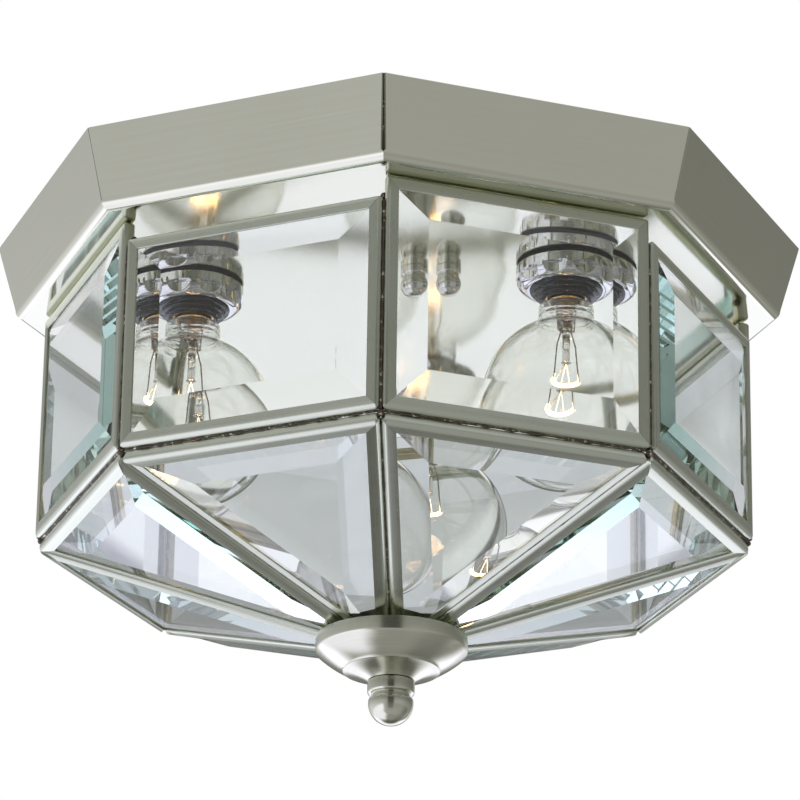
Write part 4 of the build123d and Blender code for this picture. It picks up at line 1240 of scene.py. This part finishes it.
# Hub plate
# An octagonal plate of the same nickel, pressed to a shallow funnel and soldered over the tips of the
# bottom panes inside the cage, so that the cap and finial can draw the cage up.
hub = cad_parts["hub_plate"]
hub_nickel = worked_metal(
    "hub_nickel", (CHANNEL_DARK, CHANNEL_LIGHT), roughness=(0.24, 0.38), relief=0.001 * MM,
    grain=turned(0.35 * MM), patch=10 * MM)
hub.data.materials.clear()
hub.data.materials.append(hub_nickel)

# Bottom cap
# A cup of nickel spun from sheet covers the pane tips: a straight band, a round shoulder, a crease and a
# hollow flare down to the finial. The spinning tool left fine rings.
cap_low, cap_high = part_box("bottom_cap")
CAP_DROP = 0.7 * MM
CAP_BAND = 4.4 * MM
CAP_SHOULDER = 5.9 * MM
CAP_SHOULDER_WIDTH = 8.7 * MM
CAP_SHOULDER_BOW = 0.35 * MM
CAP_CREASE_STEP = 0.3 * MM
CAP_FLARE_BOW = 0.3 * MM
CAP_SEAT = 7.45 * MM
CAP_SHEET = 0.8 * MM
CAP_HOLE = 3.575 * MM


def bowed(start, end, bow, steps=12):
    """Points on a shallow arc from start towards end, bowed to the right of the way it runs."""
    first, last = Vector(start), Vector(end)
    chord = last - first
    side = Vector((chord.y, -chord.x)).normalized()
    points = []
    for step in range(steps):
        share = step / steps
        points.append(tuple(first + chord * share + side * bow * (1 - (2 * share - 1) ** 2)))
    return points


def cap_outline(wall):
    """(radius, height) points from the rim to the rod hole, on a face drawn in by the sheet."""
    rim = cap_high.x - wall
    rim_z = cap_high.z - CAP_DROP
    band_z = rim_z - CAP_BAND + wall
    crease = rim - CAP_SHOULDER_WIDTH
    crease_z = band_z - CAP_SHOULDER
    foot_z = cap_low.z + wall
    seat = CAP_SEAT - wall
    points = [(rim, rim_z), (rim, band_z + 0.5 * MM), (rim - 0.06 * MM, band_z + 0.2 * MM)]
    shoulder_foot = (crease + 0.25 * MM, crease_z + 0.1 * MM)
    points += bowed((rim - 0.2 * MM, band_z), shoulder_foot, -CAP_SHOULDER_BOW, 20)
    points += [(crease + 0.12 * MM, crease_z - 0.02 * MM), (crease, crease_z - 0.15 * MM)]
    points += bowed((crease, crease_z - CAP_CREASE_STEP), (seat, foot_z), CAP_FLARE_BOW, 16)
    return points + [(seat, foot_z), (CAP_HOLE, foot_z)]


cap = turned_form(cap_outline(0) + cap_outline(CAP_SHEET)[::-1], 160)
finished_piece("spun_cap", cap, spun_nickel, "cap", ["bottom_cap"], crease=24)

# Ball finial
# Turned from one bar and nickel plated: a collar, a groove and a ball, with a blind hole from above.
# It screws up the rod under the cap and carries the whole cage.
finial_low, finial_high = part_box("finial")
FINIAL_COLLAR = 7.45 * MM
FINIAL_COLLAR_HEIGHT = 4.3 * MM
FINIAL_NECK = 6.0 * MM
FINIAL_BALL = 7.1 * MM
FINIAL_BALL_RAISE = 1.4 * MM
FINIAL_SHOULDER = 1.5 * MM
FINIAL_START = radians(8)
FINIAL_BORE = 3.225 * MM
FINIAL_BORE_FOOT = rod_low.z - 1.5 * MM
collar_foot = finial_high.z - FINIAL_COLLAR_HEIGHT
ball_z = finial_low.z + FINIAL_BALL_RAISE + FINIAL_BALL
groove_foot = ball_z + FINIAL_SHOULDER
shoulder = FINIAL_BALL * cos(FINIAL_START)
finial_outline = [(0, FINIAL_BORE_FOOT)] + eased([
    (FINIAL_BORE, FINIAL_BORE_FOOT, 0), (FINIAL_BORE, finial_high.z, 0.3 * MM),
    (FINIAL_COLLAR, finial_high.z, 0.5 * MM), (FINIAL_COLLAR, collar_foot, 0.8 * MM),
    (FINIAL_NECK, collar_foot, 0.25 * MM), (FINIAL_NECK, groove_foot, 0.15 * MM),
    (shoulder - 0.15 * MM, groove_foot, 0.4 * MM), (shoulder, ball_z + FINIAL_BALL * sin(FINIAL_START), 0)])
finial_outline += under_ball(FINIAL_BALL, ball_z, FINIAL_START, 40)
finial = turned_form(finial_outline, 128)
finished_piece("ball_finial", finial, spun_nickel, "finial", ["finial"], crease=40)

# Studio
# A pale room floor lies under the hanging light, with soft light all round and a broad soft box on each
# side. The eye meets plain white, while what the metal mirrors and what shows through the glass have tones
# of their own by direction, set to suit the view from the front.
FLOOR_Z = -2.4
FLOOR_HALF = 9.0
DAYLIGHT = 0.85
BOX_DISTANCE = 1.7
BOX_DROP = 1.0
BOX_SIZE = (1.0, 1.0)
BOX_POWER = 5.0
BOX_BEARINGS = (-95, 108)
LAMP_POWER = 0.015
LAMP_COLOUR = (1.0, 0.66, 0.36)
FLOOR_DARK = (0.80, 0.80, 0.79, 1)
FLOOR_LIGHT = (0.86, 0.86, 0.85, 1)
WHITE = (1, 1, 1, 1)
UNLIT = (0, 0, 0, 1)
OVERHEAD = 0.52
CEILING = 0.62
NOTCH = 0.24
NADIR = 0.36
# Each band is where one tone gives way to the next, by height from -1 (straight down) to 1 (straight up)
OVERHEAD_BAND = (0.0, 0.35)
NOTCH_BAND = (0.345, 0.365)
CEILING_BAND = (0.46, 0.54)
WALL_FOOT_BAND = (-0.29, -0.14)
NEAR_FLOOR_BAND = (-0.75, -0.55)
NADIR_BAND = (-0.975, -0.915)
COOL_CAST = (0.92, 1.2)
TONE_SPAN = (0.0, 1.2)
# Seen straight through the glass: bands that slope away to both sides, under a card that fades upward
CARD_SLANT = 0.64
CARD_ACROSS = (0.9378, -0.3473, 0)
CARD_TOP_BAND = (0.326, 0.327)
CARD_FADE_BAND = (0.350, 0.378)
CARD_NEAR = (0.61, 0.625, 0.635, 1)
CARD_FAR = (0.43, 0.445, 0.455, 1)
GREY = (0.64, 0.66, 0.69, 1)
DUSK = (0.11, 0.11, 0.12, 1)
PALE = (0.91, 0.93, 0.96, 1)
BACKDROP_TONES = (
    (0.274, GREY), (0.282, DUSK), (0.296, DUSK), (0.301, PALE), (0.3158, PALE), (0.3258, CARD_NEAR))
WALL_TONES = (
    (-180, 0.5), (-168, 0.85), (-140, 0.85), (-110, 0.72), (-80, 0.60), (-60, 0.57), (-40, 0.46),
    (-33, 0.12), (-9, 0.10), (-2, 0.44), (8, 0.48), (30, 0.48), (70, 0.36), (92, 0.33), (113, 0.33),
    (122, 0.6), (130, 0.95), (141, 0.95), (147, 0.27), (160, 0.2), (173, 0.24), (180, 0.5))
FAR_FLOOR_TONES = (
    (-180, 1.4), (-176, 1.5), (-170, 1.75), (-163, 1.6), (-155, 1.2), (-74, 1.35), (-65, 1.35),
    (-57, 0.55), (-40, 0.42), (-32, 0.2), (-10, 0.2), (-2, 0.4), (40, 0.40), (60, 0.32), (80, 0.20),
    (97, 0.34), (108, 0.48), (114, 0.32), (121, 0.36), (127, 1.0), (132, 1.6), (138, 1.6), (146, 1.4),
    (180, 1.4))
NEAR_FLOOR_TONES = (
    (-180, 0.13), (-175, 0.14), (-167, 0.3), (-160, 0.4), (-150, 1.25), (-78, 1.25), (-66, 0.48),
    (-20, 0.46), (40, 0.44), (80, 0.30), (118, 0.22), (132, 0.14), (150, 0.12), (180, 0.13))

room_tone, given, result = value_group("room_tone", {"Direction": "Vector"}, "Tone")
direction = add_node(room_tone, "ShaderNodeVectorMath", {0: given["Direction"]}, operation="NORMALIZE")
parts = add_node(room_tone, "ShaderNodeSeparateXYZ", {0: direction.outputs[0]}).outputs
toward = figured(room_tone, "MULTIPLY", parts[1], -1.0)
bearing = figured(room_tone, "ARCTAN2", parts[0], toward)
share = ranged(room_tone, bearing, 0.0, 1.0, -pi, pi)


def ramp_of(tree, value, stops):
    """A colour that runs through (position, colour) stops."""
    ramp = add_node(tree, "ShaderNodeValToRGB", {"Fac": value})
    elements = ramp.color_ramp.elements
    while len(elements) < len(stops):
        elements.new(0.5)
    for element, (position, colour) in zip(elements, stops):
        element.position = position
        element.color = colour
    return ramp.outputs["Color"]


def tones_by_bearing(tones):
    """Brightness round the room, from (degrees, tone) stops."""
    stops = [(degrees / 360 + 0.5, (tone / 2, tone / 2, tone / 2, 1)) for degrees, tone in tones]
    return figured(room_tone, "MULTIPLY", ramp_of(room_tone, share, stops), 2.0)


overhead = ranged(room_tone, parts[2], 1.0, OVERHEAD, *OVERHEAD_BAND)
walls = figured(room_tone, "MULTIPLY", tones_by_bearing(WALL_TONES), overhead)
walls = figured(room_tone, "MAXIMUM", walls, ranged(room_tone, parts[2], 0.0, NOTCH, *NOTCH_BAND))
walls = crossed(room_tone, ranged(room_tone, parts[2], 0.0, 1.0, *CEILING_BAND), walls, CEILING)
near = ranged(room_tone, parts[2], 1.0, 0.0, *NEAR_FLOOR_BAND)
far_tones = tones_by_bearing(FAR_FLOOR_TONES)
floor_tone = crossed(room_tone, near, far_tones, tones_by_bearing(NEAR_FLOOR_TONES))
below = ranged(room_tone, parts[2], 1.0, 0.0, *NADIR_BAND)
floor_tone = crossed(room_tone, below, floor_tone, NADIR)
upper = ranged(room_tone, parts[2], 0.0, 1.0, *WALL_FOOT_BAND)
room_tone.links.new(crossed(room_tone, upper, floor_tone, walls), result["Tone"])


def white_to_eye(tree, direction, light):
    """Plain white to the eye, a backdrop through glass, the room's tones in metal, and light elsewhere."""
    path = add_node(tree, "ShaderNodeLightPath").outputs
    tone = add_node(tree, "ShaderNodeGroup", {"Direction": direction}, node_tree=room_tone).outputs["Tone"]
    blue = figured(tree, "MULTIPLY", tone, ranged(tree, tone, *COOL_CAST, *TONE_SPAN))
    tint = add_node(tree, "ShaderNodeCombineColor", {0: tone, 1: tone, 2: blue}).outputs[0]
    mirrored = figured(tree, "GREATER_THAN", path["Glossy Depth"], 0.5)
    shade = blended(tree, mirrored, light, tint)
    way = add_node(tree, "ShaderNodeVectorMath", {0: direction}, operation="NORMALIZE").outputs[0]
    level = add_node(tree, "ShaderNodeSeparateXYZ", {0: way}).outputs[2]
    aside = add_node(tree, "ShaderNodeVectorMath", {0: way, 1: CARD_ACROSS}, operation="DOT_PRODUCT")
    aside = figured(tree, "ABSOLUTE", aside.outputs["Value"])
    card = figured(tree, "SUBTRACT", level, figured(tree, "MULTIPLY", aside, CARD_SLANT))
    high = blended(tree, ranged(tree, level, 0.0, 1.0, *CARD_FADE_BAND), CARD_NEAR, CARD_FAR)
    aloft = ranged(tree, card, 0.0, 1.0, *CARD_TOP_BAND)
    backdrop = blended(tree, aloft, ramp_of(tree, card, BACKDROP_TONES), high)
    direct = figured(tree, "SUBTRACT", path["Is Transmission Ray"], mirrored)
    through = figured(tree, "MAXIMUM", direct, 0.0)
    shade = blended(tree, through, shade, backdrop)
    shade = blended(tree, path["Is Camera Ray"], shade, WHITE)
    seen = figured(tree, "MAXIMUM", path["Is Camera Ray"], mirrored)
    return shade, figured(tree, "MAXIMUM", seen, through)


room = bpy.data.worlds.new("soft_studio")
bpy.context.scene.world = room
room.use_nodes = True
tree = room.node_tree
direction = add_node(tree, "ShaderNodeTexCoord").outputs["Generated"]
shade, seen = white_to_eye(tree, direction, (DAYLIGHT, DAYLIGHT, DAYLIGHT, 1))
tree.links.new(shade, tree.nodes["Background"].inputs["Color"])

floor_paint, tree, shader = new_finish("pale_floor", {"Roughness": 0.7})
coordinates = add_node(tree, "ShaderNodeTexCoord").outputs
grit = noise_of(tree, coordinates["Object"], 3.0, 4.0)
tree.links.new(blended(tree, grit, FLOOR_DARK, FLOOR_LIGHT), shader.inputs["Base Color"])
position = add_node(tree, "ShaderNodeNewGeometry").outputs["Position"]
shade, seen = white_to_eye(tree, position, UNLIT)
shown = add_node(tree, "ShaderNodeEmission", {"Color": shade, "Strength": 1.0}).outputs[0]
mixed = add_node(tree, "ShaderNodeMixShader", {0: seen, 1: shader.outputs[0], 2: shown})
tree.links.new(mixed.outputs[0], tree.nodes["Material Output"].inputs["Surface"])
floor_mesh = bpy.data.meshes.new("room_floor")
floor_corners = [
    (x * FLOOR_HALF, y * FLOOR_HALF, FLOOR_Z) for x, y in ((-1, -1), (1, -1), (1, 1), (-1, 1))]
floor_mesh.from_pydata(floor_corners, [], [(0, 1, 2, 3)])
floor_mesh.materials.append(floor_paint)
floor = bpy.data.objects.new("room_floor", floor_mesh)
bpy.context.scene.collection.objects.link(floor)

for degrees in BOX_BEARINGS:
    lamp = bpy.data.lights.new("soft_box", "AREA")
    lamp.shape = "RECTANGLE"
    lamp.size, lamp.size_y = BOX_SIZE
    lamp.energy = BOX_POWER
    soft_box = bpy.data.objects.new("soft_box", lamp)
    bearing = radians(degrees)
    soft_box.location = (BOX_DISTANCE * sin(bearing), -BOX_DISTANCE * cos(bearing), -BOX_DROP)
    soft_box.rotation_euler = (pi / 2 + atan2(BOX_DROP, BOX_DISTANCE), 0, bearing)
    soft_box.visible_camera = False
    soft_box.visible_glossy = False
    soft_box.visible_transmission = False
    bpy.context.scene.collection.objects.link(soft_box)
for x, y in lamp_places:
    lamp = bpy.data.lights.new("lamplight", "POINT")
    lamp.energy = LAMP_POWER
    lamp.color = LAMP_COLOUR
    lamp.shadow_soft_size = LEAD_SPREAD
    lamplight = bpy.data.objects.new("lamplight", lamp)
    lamplight.location = (x, y, lead_foot)
    lamplight.visible_camera = False
    lamplight.visible_transmission = False
    bpy.context.scene.collection.objects.link(lamplight)

# Viewpoint
# The light is seen from below and a little to the left of one wall, through a long lens, with the viewer's
# head tipped slightly.
VIEW_AZIMUTH = radians(-20.32)
VIEW_ELEVATION = radians(-23.78)
VIEW_DISTANCE = 1.4285
VIEW_PAN = radians(0.060)
VIEW_TILT = radians(-1.982)
VIEW_ROLL = radians(0.847)
LENS_LENGTH = 197.04
SENSOR_WIDTH = 36
NEAREST_SEEN = 0.05
MOST_BOUNCES = 40
GLASS_BOUNCES = 32
lens = bpy.data.cameras.new("viewer")
lens.lens = LENS_LENGTH
lens.sensor_width = SENSOR_WIDTH
lens.clip_start = NEAREST_SEEN
stand = Vector((
    sin(VIEW_AZIMUTH) * cos(VIEW_ELEVATION), -cos(VIEW_AZIMUTH) * cos(VIEW_ELEVATION), sin(VIEW_ELEVATION)))
ahead = -stand
right = ahead.cross(UP).normalized()
ahead += right * tan(VIEW_PAN) + right.cross(ahead) * tan(VIEW_TILT)
ahead.normalize()
right = ahead.cross(UP).normalized()
upright = right.cross(ahead)
tipped = right * cos(VIEW_ROLL) + upright * sin(VIEW_ROLL)
upright = upright * cos(VIEW_ROLL) - right * sin(VIEW_ROLL)
viewer = bpy.data.objects.new("viewer", lens)
viewer.matrix_world = Matrix((tipped, upright, -ahead)).transposed().to_4x4()
viewer.location = stand * VIEW_DISTANCE
bpy.context.scene.collection.objects.link(viewer)
bpy.context.scene.camera = viewer
bpy.context.scene.view_settings.view_transform = "Standard"
bpy.context.scene.cycles.max_bounces = MOST_BOUNCES
bpy.context.scene.cycles.glossy_bounces = GLASS_BOUNCES
bpy.context.scene.cycles.transmission_bounces = GLASS_BOUNCES
